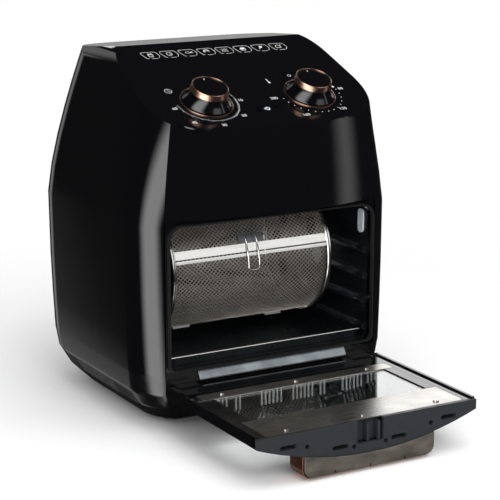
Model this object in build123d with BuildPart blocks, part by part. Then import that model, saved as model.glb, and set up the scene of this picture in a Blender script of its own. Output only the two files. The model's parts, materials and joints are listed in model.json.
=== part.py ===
from build123d import *
import os
from math import cos, radians, sin, tan

# Countertop air fryer oven with a bottom-hinged glass door, standing with its door open.
# Millimetres. X runs to the right, -Y is the front, +Z is up. The origin is on the table,
# under the middle of the whole object with its door open.

# Overall sizes
body_width = 334.0          # widest, at the seam between the two housings
front_flat = 140.0          # from the body's middle to the front plane at the door's sides
back_flat = 155.0           # from the body's middle to the flat back at the mid seam
bow = 25.0                  # how far the front swells forward at its middle
base_seam = 68.0            # height where the base meets the lower housing
mid_seam = 236.0            # height where the lower housing meets the upper one
roof_level = 420.0          # height of the narrowest housing section, just above the roof
top_width = 262.0           # width of that section
barrel = 1.35               # power by which the upper body draws in, 1 would be straight
shoulder_drop = 19.0        # height of the cap's rounded shoulders
crease_width = 276.0        # between the two front edges at the mid seam, the door's width
back_corner = 60.0          # radius of the body's upright corners at the back
front_wrap = 42.0           # depth of the rounded front corners at the mid seam
top_wrap = 64.0             # and at the roof
base_inset = 3.5            # how much narrower the body is at the base seam
wall = 2.6                  # moulded plastic walls
sheet = 1.2                 # pressed steel walls
gap = 0.3                   # clearance between plastic covers
slip = 0.05                 # radial clearance of a turning shaft in its bore
foot_height = 8.0

# Panel and dials
panel_tilt = 25.0
dial_height = 366.0         # of the line through both dials
dial_setback = 108.4        # from the body's middle forward to that line
dial_half_pitch = 67.0
panel_back = 122.0          # panel length above the dial line, up the slope
panel_front = 59.0          # and below it
panel_half = 130.0
panel_thick = 1.6
dial_ring_r = 30.5
dial_ring_band = 1.6
dial_ring_height = 1.4
skirt_r = 28.0
skirt_height = 13.5
band_r = 21.6
band_height = 7.0
spindle_r = 3.0
dial_lift = 1.0             # knob clear of the panel

# Oven and door
opening_half = 132.0        # clear mouth of the oven
opening_low = 74.0
opening_high = 236.0
mouth_corner = 15.0         # upper corners of the mouth
sill_corner = 6.0           # and its lower ones, small enough to let the tray through
frame_thick = 6.0
cavity_top = 254.0
cavity_back = 120.0         # from the body's middle
hinge_y = 152.0             # forward of the body's middle
hinge_z = 50.0
door_above = 6.0            # from the hinge axis to the door's inner face
door_side = 11.0            # door thickness at its sides
door_tail = 11.0            # from the hinge axis to the door's lower edge
door_length = 193.0         # from the hinge axis to the door's free edge
door_skin = 3.0
end_cap = 4.0
handle_half = 83.0
handle_deep = 28.0
handle_floor = 3.0          # height of the open door's handle over the table
handle_wall = 4.0
handle_corner = 10.0        # lower corners of the handle's core
glass = 3.0
pin_r = 2.5

# Drum
drum_x = -7.0               # the drum stands off the middle, towards its drive
drum_y = -34.0
drum_z = 168.0
drum_r = 74.0
drum_half = 104.0
mesh = 1.0
rim = 3.0
seam_angle = 16.0           # the drum's parting plane, up from level at the front

# Fan and motor over the oven
fan_y = -8.0
chamber_r = 92.0
chamber_height = 38.0
fan_r = 62.0
coil_r = 76.0
coil_wire = 3.3
motor_r = 30.0

# Mains inlet at the back
inlet_x = 98.0
inlet_z = 82.0
inlet_r = 6.5

# Values worked out from those
back_reach = back_flat + 5.0
door_reach = hinge_y + door_length + 2.0
body_y = (door_reach - back_reach) / 2
half = body_width / 2
top_half = top_width / 2
crease = crease_width / 2
front_y = body_y - front_flat
back_y = body_y + back_flat
hinge_line = body_y - hinge_y
door_top = hinge_z + door_above
door_edge = hinge_line - door_length
door_back = hinge_line + door_tail
door_under = door_top - door_side
wide = body_width * 2       # longer than anything, for cuts right through
dial_plane = Plane(
    origin=(0, body_y - dial_setback, dial_height),
    x_dir=(1, 0, 0),
    z_dir=(0, -sin(radians(panel_tilt)), cos(radians(panel_tilt))),
)
ridge_y = body_y - dial_setback + (panel_back + 4) * cos(radians(panel_tilt))
ridge_z = dial_height + (panel_back + 4) * sin(radians(panel_tilt))
liner_front = front_y + frame_thick
liner_back = body_y + cavity_back
liner_floor = opening_low - 1.0
fan_line = body_y + fan_y
drum_line = body_y + drum_y

os.makedirs("parts", exist_ok=True)


def plan(level, half_w, crease_w, front, back, swell, inset=0.0, wrap=front_wrap):
    """Plan of the body at one height: bowed front, wrapped front corners, round back corners."""
    h = half_w - inset
    c = crease_w - inset
    f = body_y - front + inset
    b = body_y + back - inset
    corner = back_corner - inset
    with BuildSketch(Plane.XY.offset(level)) as outline:
        with BuildLine():
            ThreePointArc((c, f), (0, f - swell), (-c, f))
            TangentArc((-h, f + wrap), (-c, f), tangent=(0, -1))
            Line((-h, f + wrap), (-h, b - corner))
            TangentArc((-h, b - corner), (-h + corner, b), tangent=(0, 1))
            Line((-h + corner, b), (h - corner, b))
            TangentArc((h, b - corner), (h - corner, b), tangent=(0, 1))
            Line((h, b - corner), (h, f + wrap))
            TangentArc((h, f + wrap), (c, f), tangent=(0, -1))
        make_face()
    return outline.sketch


def lower_plan(level, inset=0.0):
    """Body plan between the base seam and the mid seam, widening less and less on the way up."""
    t = (level - base_seam) / (mid_seam - base_seam)
    grow = -base_inset * (1 - t) ** 2
    return plan(level, half + grow, crease, front_flat, back_flat + grow, bow, inset)


def draw_in(level):
    """How much narrower the upper body is at a height, growing faster and faster towards the roof."""
    return (half - top_half) * max(0.0, (level - mid_seam) / (roof_level - mid_seam)) ** barrel


def upper_plan(level, inset=0.0):
    """Body plan above the mid seam, drawing in towards the roof."""
    t = (level - mid_seam) / (roof_level - mid_seam)
    draw = draw_in(level)
    wrap = front_wrap + (top_wrap - front_wrap) * t
    return plan(level, half - draw, crease - draw / 2, front_flat, back_flat - draw, bow, inset, wrap)


def base_plan(level, draw, inset=0.0):
    """Body plan below the base seam, drawn in by a given amount all round."""
    return plan(level, half - base_inset - draw, crease - draw * 0.8, front_flat - draw * 0.8,
                back_flat - base_inset - draw, bow - draw * 0.5, inset)


def under_cap(rise=0.0):
    """Region of the side view below the edge where the cap sits, an arc that falls to the front."""
    a = (body_y - 190, 303.0 + rise)
    m = (body_y - 60, 374.0 + rise)
    b = (body_y + 165, 399.0 + rise)
    with BuildSketch(Plane.YZ) as profile:
        with BuildLine():
            ThreePointArc(a, m, b)
            Polyline(b, (b[0], mid_seam), (a[0], mid_seam), a)
        make_face()
    return profile.sketch


def under_roof(drop=0.0):
    """Region of the side view below the roof: sloped panel at the front, gentle fall at the back."""
    slope = tan(radians(panel_tilt))
    lip_y = body_y - 200
    lip_z = ridge_z - (ridge_y - lip_y) * slope
    tail_y = body_y + 170
    tail_z = ridge_z - (tail_y - ridge_y) * tan(radians(5.0))
    with BuildSketch(Plane.YZ) as profile:
        with BuildLine():
            Polyline((lip_y, lip_z - drop), (ridge_y, ridge_z - drop), (tail_y, tail_z - drop),
                     (tail_y, mid_seam), (lip_y, mid_seam), close=True)
        make_face()
    return profile.sketch


def save(part, name):
    """Label a finished piece and write it out."""
    part.label = name
    export_step(part, f"parts/{name}.step")


# Housings

fascia_low = hinge_z + door_length + 1.0

upper_levels = (mid_seam, 270.0, 305.0, 340.0, 370.0, 396.0, roof_level)
with BuildPart() as upper_solid:
    loft(sections=[upper_plan(level) for level in upper_levels], ruled=True)
with BuildPart() as upper_core:
    core_levels = (mid_seam - 1, *upper_levels[1:-1], roof_level + 1)
    loft(sections=[upper_plan(level, wall) for level in core_levels], ruled=True)
with BuildPart() as under_cap_block:
    extrude(under_cap(), amount=wide / 2, both=True)
with BuildPart() as under_roof_block:
    extrude(under_roof(), amount=wide / 2, both=True)
with BuildPart() as under_lining_block:
    extrude(under_roof(drop=wall + 0.6), amount=wide / 2, both=True)


def under_shoulders(inset=0.0):
    """Region of the front view below the roof whose two upper corners are rounded."""
    low = roof_level - shoulder_drop
    side = half - draw_in(low) - inset
    end = roof_level + 0.5 - inset
    lean = (draw_in(roof_level) - draw_in(low)) / shoulder_drop
    with BuildSketch(Plane.XZ.offset(-(back_y + 10))) as profile:
        with BuildLine():
            Line((-side - 60, mid_seam), (side + 60, mid_seam))
            Polyline((side + 60, mid_seam), (side + 60, low), (side, low))
            TangentArc((side, low), (side - shoulder_drop, end), tangent=(-lean, 1))
            Line((side - shoulder_drop, end), (shoulder_drop - side, end))
            TangentArc((-side, low), (shoulder_drop - side, end), tangent=(lean, 1))
            Polyline((-side, low), (-side - 60, low), (-side - 60, mid_seam))
        make_face()
    return profile.sketch


def fascia_wedge(side_gap):
    """Front zone between the two creases, narrowing towards the roof."""
    edge = [(crease - side_gap, mid_seam - 8)]
    edge += [(crease - draw_in(level) / 2 - side_gap, level) for level in upper_levels]
    with BuildSketch(Plane.XZ.offset(-(front_y + 30))) as zone:
        with BuildLine():
            Polyline(*edge, *[(-x, z) for x, z in reversed(edge)], close=True)
        make_face()
    return zone.sketch


with BuildPart() as upper_housing:
    add(upper_solid.part)
    add(upper_core.part, mode=Mode.SUBTRACT)
    add(under_cap_block.part, mode=Mode.INTERSECT)
    extrude(fascia_wedge(0), amount=bow + 60, mode=Mode.SUBTRACT)
save(upper_housing.part, "upper_housing")

with BuildPart() as front_fascia:
    add(upper_solid.part)
    add(upper_core.part, mode=Mode.SUBTRACT)
    add(under_cap_block.part, mode=Mode.INTERSECT)
    extrude(fascia_wedge(gap), amount=bow + 60, mode=Mode.INTERSECT)
    with BuildSketch(Plane.XY.offset(mid_seam - 10)) as below_fascia:
        Rectangle(wide, wide)
    extrude(amount=fascia_low - mid_seam + 10, mode=Mode.SUBTRACT)
with BuildPart() as fascia_shelf:
    extrude(upper_plan(fascia_low, gap), amount=wall)
    with BuildSketch(Plane.XY.offset(fascia_low - 1)) as behind:
        with Locations((0, front_y - gap + 200)):
            Rectangle(wide, 400)
    extrude(amount=wall + 2, mode=Mode.SUBTRACT)
    with BuildSketch(Plane.XY.offset(fascia_low - 1)) as beside:
        Rectangle((crease - 3) * 2, wide)
    extrude(amount=wall + 2, mode=Mode.INTERSECT)
with BuildPart() as fascia_whole:
    add(front_fascia.part)
    add(fascia_shelf.part)
save(fascia_whole.part, "front_fascia")

lower_levels = (base_seam, 110.0, 160.0, mid_seam)
with BuildPart() as lower_housing:
    loft(sections=[lower_plan(level) for level in lower_levels], ruled=True)
    loft(sections=[lower_plan(level, wall) for level in lower_levels], ruled=True, mode=Mode.SUBTRACT)
    with BuildSketch(Plane.XY.offset(base_seam - 1)) as mouth:
        with Locations((0, front_y - 60)):
            Rectangle(crease * 2, 200)
    extrude(amount=mid_seam - base_seam + 2, mode=Mode.SUBTRACT)
    vent_half = 104.0
    vent_low = 92.0
    vent_high = 222.0
    with BuildSketch(Plane.XZ.offset(-(back_y + 10))) as vent_window:
        with Locations((0, (vent_low + vent_high) / 2)):
            RectangleRounded(vent_half * 2, vent_high - vent_low, 10)
        with Locations((inlet_x, inlet_z)):
            Circle(inlet_r)
    extrude(amount=30, mode=Mode.SUBTRACT)
save(lower_housing.part, "lower_housing")

with BuildPart() as rear_panel:
    rear_face = back_y - 1.0
    with BuildSketch(Plane.XZ.offset(-rear_face)) as rear_plate:
        with Locations((0, (vent_low + vent_high) / 2)):
            RectangleRounded((vent_half - gap) * 2, vent_high - vent_low - 2 * gap, 10 - gap)
    extrude(amount=3.0)
    with BuildSketch(Plane.XZ.offset(-rear_face - 1)) as louvres:
        with Locations((0, (vent_low + vent_high) / 2)):
            with GridLocations(62, 10, 3, 9):
                SlotOverall(50, 4)
    extrude(amount=5.0, mode=Mode.SUBTRACT)
    with BuildSketch(Plane.XZ.offset(-rear_face)) as spacers:
        with Locations((-vent_half + 14, vent_high - 12), (vent_half - 14, vent_high - 12)):
            Circle(6)
    extrude(amount=-(back_reach - back_flat + 1.0))
save(rear_panel.part, "rear_panel")

base_low = foot_height
base_draws = ((base_low, 30.0), (26.0, 13.0), (46.0, 3.0), (base_seam, 0.0))
apron_low = 16.0
with BuildPart() as base_block:
    for (z0, d0), (z1, d1) in zip(base_draws, base_draws[1:]):
        loft(sections=[base_plan(z0, d0), base_plan(z1, d1)], ruled=True)
with BuildPart() as apron:
    with BuildSketch(Plane.XZ.offset(-front_y)) as apron_face:
        with Locations((0, (apron_low + base_seam) / 2)):
            Rectangle(crease * 2, base_seam - apron_low)
    extrude(amount=-wall)
    add(base_block.part, mode=Mode.INTERSECT)
with BuildPart() as base_tray:
    add(base_block.part)
    for (z0, d0), (z1, d1) in zip(base_draws, base_draws[1:]):
        floor_z = z0 + (wall if z0 == base_low else 0)
        floor_d = d0 + (d1 - d0) * (floor_z - z0) / (z1 - z0)
        loft(sections=[base_plan(floor_z, floor_d, wall), base_plan(z1, d1, wall)], ruled=True,
             mode=Mode.SUBTRACT)
    with BuildSketch(Plane.XY.offset(apron_low)) as door_room:
        with Locations((0, front_y - 50)):
            Rectangle((crease + 2) * 2, 100)
    extrude(amount=base_seam - apron_low + 1, mode=Mode.SUBTRACT)
    add(apron.part)
    with BuildSketch(Plane.YZ.offset(-half)) as side_vents:
        with Locations(*[(body_y + y, 30.0) for y in (-96, -87, -78, -69, -60, -51, 55, 64, 73, 82, 91)]):
            SlotOverall(24, 3.4, rotation=62)
    extrude(amount=body_width, mode=Mode.SUBTRACT)
save(base_tray.part, "base_tray")

with BuildPart() as feet:
    with BuildSketch() as foot_pads:
        with Locations((-88, body_y - 88), (88, body_y - 88)):
            SlotOverall(52, 22)
        with Locations((-92, body_y + 100), (92, body_y + 100)):
            SlotOverall(30, 18)
    extrude(amount=foot_height)
save(feet.part, "feet")

# Cap and control panel


def panel_outline(inset=0.0):
    """D-shaped outline in the dial plane: small corners at the back, wide ones at the bowed front."""
    w = panel_half - inset
    top = panel_back - inset
    low = -panel_front + inset
    knee = low + 52.0
    shoulder = top - 26.0
    with BuildSketch(dial_plane) as outline:
        with BuildLine():
            ThreePointArc((-w + 45, low + 8), (0, low), (w - 45, low + 8))
            TangentArc((w, knee), (w - 45, low + 8), tangent=(0, -1))
            Line((w, knee), (w, shoulder))
            TangentArc((w, shoulder), (w - 30, top), tangent=(0, 1))
            Line((w - 30, top), (-w + 30, top))
            TangentArc((-w, shoulder), (-w + 30, top), tangent=(0, 1))
            Line((-w, shoulder), (-w, knee))
            TangentArc((-w, knee), (-w + 45, low + 8), tangent=(0, -1))
        make_face()
    return outline.sketch


switch_v = -22.0
switch_w = 22.4
switch_h = 8.8
bezel_wall = 2.0
spindle_hole = spindle_r + 1.0

with BuildPart() as top_cap:
    add(upper_solid.part)
    add(under_roof_block.part, mode=Mode.INTERSECT)
    extrude(under_shoulders(), amount=wide, mode=Mode.INTERSECT)
    add(under_cap_block.part, mode=Mode.SUBTRACT)
    with BuildPart(mode=Mode.PRIVATE) as cap_core:
        add(upper_core.part)
        add(under_lining_block.part, mode=Mode.INTERSECT)
        extrude(under_shoulders(inset=wall), amount=wide, mode=Mode.INTERSECT)
    add(cap_core.part, mode=Mode.SUBTRACT)
    extrude(panel_outline(inset=-gap), amount=-panel_thick, mode=Mode.SUBTRACT)
    with BuildSketch(dial_plane.offset(-12)) as cap_holes:
        with Locations((-dial_half_pitch, 0), (dial_half_pitch, 0)):
            Circle(spindle_hole)
        with Locations((0, switch_v)):
            Rectangle(switch_w + 2 * bezel_wall + 2 * gap, switch_h + 2 * bezel_wall + 2 * gap)
    extrude(amount=14, mode=Mode.SUBTRACT)
save(top_cap.part, "top_cap")

with BuildPart() as control_panel:
    extrude(panel_outline(), amount=-panel_thick)
    with BuildSketch(dial_plane.offset(-5)) as panel_holes:
        with Locations((-dial_half_pitch, 0), (dial_half_pitch, 0)):
            Circle(spindle_hole)
        with Locations((0, switch_v)):
            Rectangle(switch_w + 2 * bezel_wall + 2 * gap, switch_h + 2 * bezel_wall + 2 * gap)
    extrude(amount=8, mode=Mode.SUBTRACT)
save(control_panel.part, "control_panel")

rocker_pivot = 5.0          # below the panel's face
rocker_pin = 1.2
with BuildPart() as switch_housing:
    with BuildSketch(dial_plane.offset(-16)) as switch_box:
        with Locations((0, switch_v)):
            Rectangle(switch_w + 2 * bezel_wall, switch_h + 2 * bezel_wall)
    extrude(amount=16.8)
    with BuildSketch(dial_plane.offset(-13)) as switch_well:
        with Locations((0, switch_v)):
            Rectangle(switch_w, switch_h)
    extrude(amount=16, mode=Mode.SUBTRACT)
    pivot_plane = Plane(origin=dial_plane.from_local_coords(Vector(0, switch_v, -rocker_pivot)),
                        x_dir=(1, 0, 0), z_dir=dial_plane.y_dir)
    with BuildSketch(pivot_plane) as switch_bore:
        Circle(rocker_pin + slip)
    extrude(amount=switch_h / 2 + 1.3, both=True, mode=Mode.SUBTRACT)
save(switch_housing.part, "switch_housing")

with BuildPart() as switch_rocker:
    with BuildSketch(pivot_plane) as rocker_face:
        with BuildLine():
            ThreePointArc((-9.6, -5.8), (0, -5.0), (9.6, -5.8))
            Line((9.6, -5.8), (7.0, 3.0))
            Line((7.0, 3.0), (-7.0, 3.0))
            Line((-7.0, 3.0), (-9.6, -5.8))
        make_face()
    extrude(amount=switch_h / 2 - gap, both=True)
    with BuildSketch(pivot_plane) as rocker_axle:
        Circle(rocker_pin)
    extrude(amount=switch_h / 2 + 1.2, both=True)
save(switch_rocker.part, "switch_rocker")


def turned(plane, *points):
    """Piece turned about a plane's normal from its half section, given as radius and height."""
    turn_plane = Plane(origin=plane.origin, x_dir=plane.x_dir, z_dir=-plane.y_dir)
    with BuildPart() as lathe:
        with BuildSketch(turn_plane) as section:
            with BuildLine():
                Polyline(*points, close=True)
            make_face()
        revolve(axis=Axis(plane.origin, plane.z_dir))
    return lathe.part


skirt_top = dial_lift + skirt_height
band_top = skirt_top + band_height
plug_r = band_r - 4.0
cap_step = band_top - 2.0
dial_rings = []
for dial, side in (("timer", -1), ("temperature", 1)):
    dial_at = Plane(origin=dial_plane.from_local_coords(Vector(side * dial_half_pitch, 0, 0)),
                    x_dir=(1, 0, 0), z_dir=dial_plane.z_dir)
    dial_rings.append(turned(dial_at, (dial_ring_r - dial_ring_band, 0), (dial_ring_r, 0),
                             (dial_ring_r - 0.4, dial_ring_height),
                             (dial_ring_r - dial_ring_band + 0.3, dial_ring_height)))
    save(turned(dial_at, (spindle_r, dial_lift), (8, dial_lift), (8, skirt_top - 3), (19, skirt_top - 3),
                (skirt_r - 2.5, dial_lift + 2), (skirt_r - 2, dial_lift), (skirt_r, dial_lift),
                (skirt_r - 0.4, dial_lift + 1.8), (band_r, skirt_top), (plug_r, skirt_top),
                (plug_r, cap_step), (band_r - 2.2, cap_step), (band_r - 2.2, band_top - 0.7),
                (0, band_top - 0.9), (0, skirt_top), (spindle_r, skirt_top)),
         f"{dial}_knob")
    save(turned(dial_at, (plug_r, skirt_top), (band_r + 0.6, skirt_top), (band_r + 0.6, skirt_top + 1),
                (band_r - 0.9, band_top), (band_r - 2.2, band_top), (band_r - 2.2, cap_step),
                (plug_r, cap_step)), f"{dial}_knob_band")
    save(turned(dial_at, (0, -14), (spindle_r, -14), (spindle_r, skirt_top), (0, skirt_top)),
         f"{dial}_spindle")

with BuildPart() as dial_trim_rings:
    add(dial_rings)
save(dial_trim_rings.part, "dial_trim_rings")

under_panel = -(wall + 0.8)
with BuildPart() as timer_body:
    with BuildSketch(dial_plane.offset(under_panel)) as timer_case:
        with Locations((-dial_half_pitch, 0)):
            RectangleRounded(46, 46, 4)
    extrude(amount=-26)
    with BuildSketch(dial_plane.offset(under_panel - 26)) as timer_bell:
        with Locations((-dial_half_pitch, 0)):
            Circle(16)
    extrude(amount=-4)
    with BuildSketch(dial_plane) as timer_bore:
        with Locations((-dial_half_pitch, 0)):
            Circle(spindle_r + slip)
    extrude(amount=-15, mode=Mode.SUBTRACT)
save(timer_body.part, "timer_body")

with BuildPart() as thermostat_body:
    with BuildSketch(dial_plane.offset(under_panel)) as thermostat_case:
        with Locations((dial_half_pitch, 0)):
            Circle(19)
    extrude(amount=-20)
    with BuildSketch(dial_plane) as thermostat_bore:
        with Locations((dial_half_pitch, 0)):
            Circle(spindle_r + slip)
    extrude(amount=-15, mode=Mode.SUBTRACT)
save(thermostat_body.part, "thermostat_body")

# Oven chamber

rail_deep = 4.0
rail_levels = (86.0, 118.0, 148.0, 180.0)
liner_wide = (opening_half + sheet) * 2
with BuildPart() as cavity_liner:
    with BuildSketch(Plane.XY.offset(liner_floor)) as liner_plan:
        with Locations((0, (liner_front + liner_back) / 2)):
            Rectangle(liner_wide, liner_back - liner_front)
    extrude(amount=cavity_top + sheet - liner_floor)
    with BuildSketch(Plane.XY.offset(liner_floor + sheet)) as liner_room:
        with Locations((0, (liner_front + liner_back) / 2 - sheet)):
            Rectangle(opening_half * 2, liner_back - liner_front)
    extrude(amount=cavity_top - liner_floor - sheet, mode=Mode.SUBTRACT)
    for level in rail_levels:
        for side in (-1, 1):
            with BuildSketch(Plane.XZ.offset(-(liner_front + 4))) as rail_end:
                with BuildLine():
                    Polyline((side * opening_half, level - 5), (side * (opening_half - rail_deep), level - 2.5),
                             (side * (opening_half - rail_deep), level + 2.5), (side * opening_half, level + 5),
                             close=True)
                make_face()
            extrude(amount=-(liner_back - liner_front - 12))
    with BuildSketch(Plane.XY.offset(cavity_top - 1)) as fan_mouth:
        with Locations((0, fan_line)):
            Circle(chamber_r - 8)
    extrude(amount=sheet + 2, mode=Mode.SUBTRACT)
    drive_hole = 9.0
    with BuildSketch(Plane.YZ.offset(-opening_half - 5)) as drive_mouth:
        with Locations((drum_line, drum_z)):
            Circle(drive_hole)
    extrude(amount=10, mode=Mode.SUBTRACT)
    lamp_y = liner_front + 13.0
    lamp_z = 213.0
    lamp_tall = 29.0
    lamp_wide = 11.0
    with BuildSketch(Plane.YZ.offset(opening_half - 5)) as lamp_mouth:
        with Locations((lamp_y, lamp_z)):
            SlotOverall(lamp_tall, lamp_wide, rotation=90)
    extrude(amount=10, mode=Mode.SUBTRACT)
save(cavity_liner.part, "cavity_liner")



def mouth_outline(margin=0.0):
    """Clear mouth of the oven as local sketch shapes: large upper corners and small lower ones."""
    low = opening_low - margin
    tall = opening_high - opening_low + 2 * margin
    with BuildSketch() as outline:
        with Locations((0, low + tall / 2)):
            RectangleRounded((opening_half + margin) * 2, tall, mouth_corner + margin)
        with Locations((0, low + tall / 4)):
            RectangleRounded((opening_half + margin) * 2, tall / 2, sill_corner + margin)
    return outline.sketch


seal_front = 5.2
seal_in = 0.6
seal_out = 2.2
with BuildPart() as opening_frame:
    with BuildSketch(Plane.XZ.offset(-liner_front)) as frame_face:
        with Locations((0, (base_seam + fascia_low - gap) / 2)):
            Rectangle((crease - 5 * gap) * 2, fascia_low - gap - base_seam)
        with Locations((0, (fascia_low - gap + cavity_top + 4) / 2)):
            Rectangle((opening_half - 6) * 2, cavity_top + 4 - fascia_low + gap)
        add(mouth_outline(), mode=Mode.SUBTRACT)
    extrude(amount=frame_thick)
save(opening_frame.part, "opening_frame")

with BuildPart() as oven_seal:
    with BuildSketch(Plane.XZ.offset(-front_y)) as seal_face:
        add(mouth_outline(seal_out))
        add(mouth_outline(seal_in), mode=Mode.SUBTRACT)
    extrude(amount=seal_front)
save(oven_seal.part, "oven_seal")

lug_in = 100.0
lug_out = 128.0
with BuildPart() as threshold_strip:
    with BuildSketch(Plane.YZ.offset(-(lug_in - 3))) as threshold_section:
        with BuildLine():
            Polyline((front_y, 60), (front_y, base_seam + 1), (front_y - seal_front, 60.4),
                     (front_y - seal_front, 59.2), close=True)
        make_face()
    extrude(amount=(lug_in - 3) * 2)
save(threshold_strip.part, "threshold_strip")

lug_r = 7.0
with BuildPart() as hinge_lugs:
    for side in (-1, 1):
        with BuildSketch(Plane.YZ.offset(side * (lug_in + lug_out) / 2)) as lug_side:
            with Locations((hinge_line, hinge_z)):
                Circle(lug_r)
            with Locations(((hinge_line + front_y) / 2, hinge_z)):
                Rectangle(front_y - hinge_line, lug_r * 2)
            with Locations((hinge_line, hinge_z)):
                Circle(pin_r + slip, mode=Mode.SUBTRACT)
        extrude(amount=(lug_out - lug_in) / 2, both=True)
save(hinge_lugs.part, "hinge_lugs")

with BuildPart() as drip_tray:
    tray_half = opening_half - 6.0
    tray_front = liner_front + 6.0
    tray_back = liner_back - 12.0
    tray_low = liner_floor + sheet + 0.3
    tray_high = tray_low + 10.0
    with BuildSketch(Plane.XY.offset(tray_low)) as tray_plan:
        with Locations((0, (tray_front + tray_back) / 2)):
            RectangleRounded(tray_half * 2, tray_back - tray_front, 8)
    extrude(amount=tray_high - tray_low, taper=-6)
    with BuildSketch(Plane.XY.offset(tray_low + 1.0)) as tray_room:
        with Locations((0, (tray_front + tray_back) / 2)):
            RectangleRounded((tray_half - 1) * 2, tray_back - tray_front - 2, 7)
    extrude(amount=tray_high - tray_low, taper=-6, mode=Mode.SUBTRACT)
save(drip_tray.part, "drip_tray")

# Fan, heater and motor over the oven

chamber_floor = cavity_top + sheet
chamber_roof = chamber_floor + chamber_height
with BuildPart() as heat_chamber:
    with BuildSketch(Plane.XY.offset(chamber_floor)) as chamber_plan:
        with Locations((0, fan_line)):
            Circle(chamber_r)
    extrude(amount=chamber_height)
    with BuildSketch(Plane.XY.offset(chamber_floor)) as chamber_room:
        with Locations((0, fan_line)):
            Circle(chamber_r - sheet)
    extrude(amount=chamber_height - sheet, mode=Mode.SUBTRACT)
    with BuildSketch(Plane.XY.offset(chamber_roof - 3)) as chamber_holes:
        with Locations((0, fan_line)):
            Circle(6)
        with Locations((-14, fan_line + coil_r - 1.3), (14, fan_line + coil_r - 1.3)):
            Circle(coil_wire + 0.6)
    extrude(amount=6, mode=Mode.SUBTRACT)
save(heat_chamber.part, "heat_chamber")

with BuildPart() as fan_guard:
    guard_low = cavity_top - sheet
    with BuildSketch(Plane.XY.offset(guard_low)) as guard_plan:
        with Locations((0, fan_line)):
            Circle(chamber_r - 2)
    extrude(amount=sheet)
    with BuildSketch(Plane.XY.offset(guard_low - 1)) as guard_slots:
        with Locations((0, fan_line)):
            for ring_r, count in ((20, 6), (36, 12), (52, 18), (68, 24)):
                with PolarLocations(ring_r, count):
                    SlotOverall(12, 5)
    extrude(amount=sheet + 2, mode=Mode.SUBTRACT)
save(fan_guard.part, "fan_guard")

coil_z = chamber_floor + 10.0
with BuildPart() as heater_coil:
    lead = 14.0
    lead_y = fan_line + (coil_r ** 2 - lead ** 2) ** 0.5
    with BuildSketch(Plane.XY.offset(coil_z)) as coil_flat:
        with Locations((0, fan_line)):
            Circle(coil_r + coil_wire)
            Circle(coil_r - coil_wire, mode=Mode.SUBTRACT)
    extrude(amount=coil_wire, both=True)
    fillet(heater_coil.edges().filter_by(GeomType.CIRCLE), coil_wire * 0.8)
    with BuildSketch(Plane.XY.offset(coil_z)) as coil_leads:
        with Locations((-lead, lead_y), (lead, lead_y)):
            Circle(coil_wire * 0.8)
    extrude(amount=chamber_roof + 8 - coil_z)
save(heater_coil.part, "heater_coil")

fan_low = chamber_floor + 16.0
fan_high = fan_low + 12.0
shaft_r = 3.0
with BuildPart() as convection_fan:
    with BuildSketch(Plane.XY.offset(fan_high - 1.2)) as fan_disc:
        with Locations((0, fan_line)):
            Circle(fan_r)
            Circle(shaft_r, mode=Mode.SUBTRACT)
    extrude(amount=1.2)
    with BuildSketch(Plane.XY.offset(fan_low)) as fan_blades:
        with Locations((0, fan_line)):
            with PolarLocations(fan_r * 0.68, 10):
                Rectangle(fan_r * 0.6, 1.4, rotation=18)
    extrude(amount=fan_high - fan_low)
    with BuildSketch(Plane.XY.offset(fan_low)) as fan_hub:
        with Locations((0, fan_line)):
            Circle(9)
            Circle(shaft_r, mode=Mode.SUBTRACT)
    extrude(amount=fan_high - fan_low)
save(convection_fan.part, "convection_fan")

motor_low = chamber_roof + 10.0
motor_high = motor_low + 40.0
cooler_low = motor_high + 8.0
cooler_high = cooler_low + 10.0
with BuildPart() as fan_shaft:
    with BuildSketch(Plane.XY.offset(fan_low - 3)) as shaft_plan:
        with Locations((0, fan_line)):
            Circle(shaft_r)
    extrude(amount=cooler_high + 2 - fan_low + 3)
save(fan_shaft.part, "fan_shaft")

with BuildPart() as cooling_fan:
    with BuildSketch(Plane.XY.offset(cooler_low)) as cooler_hub:
        with Locations((0, fan_line)):
            Circle(14)
            Circle(shaft_r, mode=Mode.SUBTRACT)
    extrude(amount=cooler_high - cooler_low)
    with BuildSketch(Plane.XY.offset(cooler_low)) as cooler_blades:
        with Locations((0, fan_line)):
            with PolarLocations(24, 7):
                Rectangle(36, 1.6, rotation=24)
            Circle(shaft_r + 3, mode=Mode.SUBTRACT)
    extrude(amount=cooler_high - cooler_low)
save(cooling_fan.part, "cooling_fan")

with BuildPart() as fan_motor:
    with BuildSketch(Plane.XY.offset(motor_low)) as motor_plan:
        with Locations((0, fan_line)):
            Circle(motor_r)
    extrude(amount=motor_high - motor_low)
    with BuildSketch(Plane.XY.offset(motor_low + 12)) as stack_plan:
        with Locations((0, fan_line)):
            RectangleRounded(motor_r * 2 + 8, motor_r * 2 + 8, 6)
    extrude(amount=16)
    with BuildSketch(Plane.XY.offset(motor_low - 1)) as motor_bore:
        with Locations((0, fan_line)):
            Circle(shaft_r + slip)
    extrude(amount=motor_high - motor_low + 2, mode=Mode.SUBTRACT)
save(fan_motor.part, "fan_motor")

with BuildPart() as motor_bracket:
    bracket_half = chamber_r - 8.0
    with BuildSketch(Plane.XY.offset(motor_low - 2)) as bracket_plan:
        with Locations((0, fan_line)):
            Rectangle(bracket_half * 2, 44)
            Circle(14, mode=Mode.SUBTRACT)
    extrude(amount=2)
    with BuildSketch(Plane.XY.offset(chamber_roof)) as bracket_legs:
        with Locations((-bracket_half + 4, fan_line), (bracket_half - 4, fan_line)):
            Rectangle(2, 44)
    extrude(amount=motor_low - 2 - chamber_roof)
save(motor_bracket.part, "motor_bracket")

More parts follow.
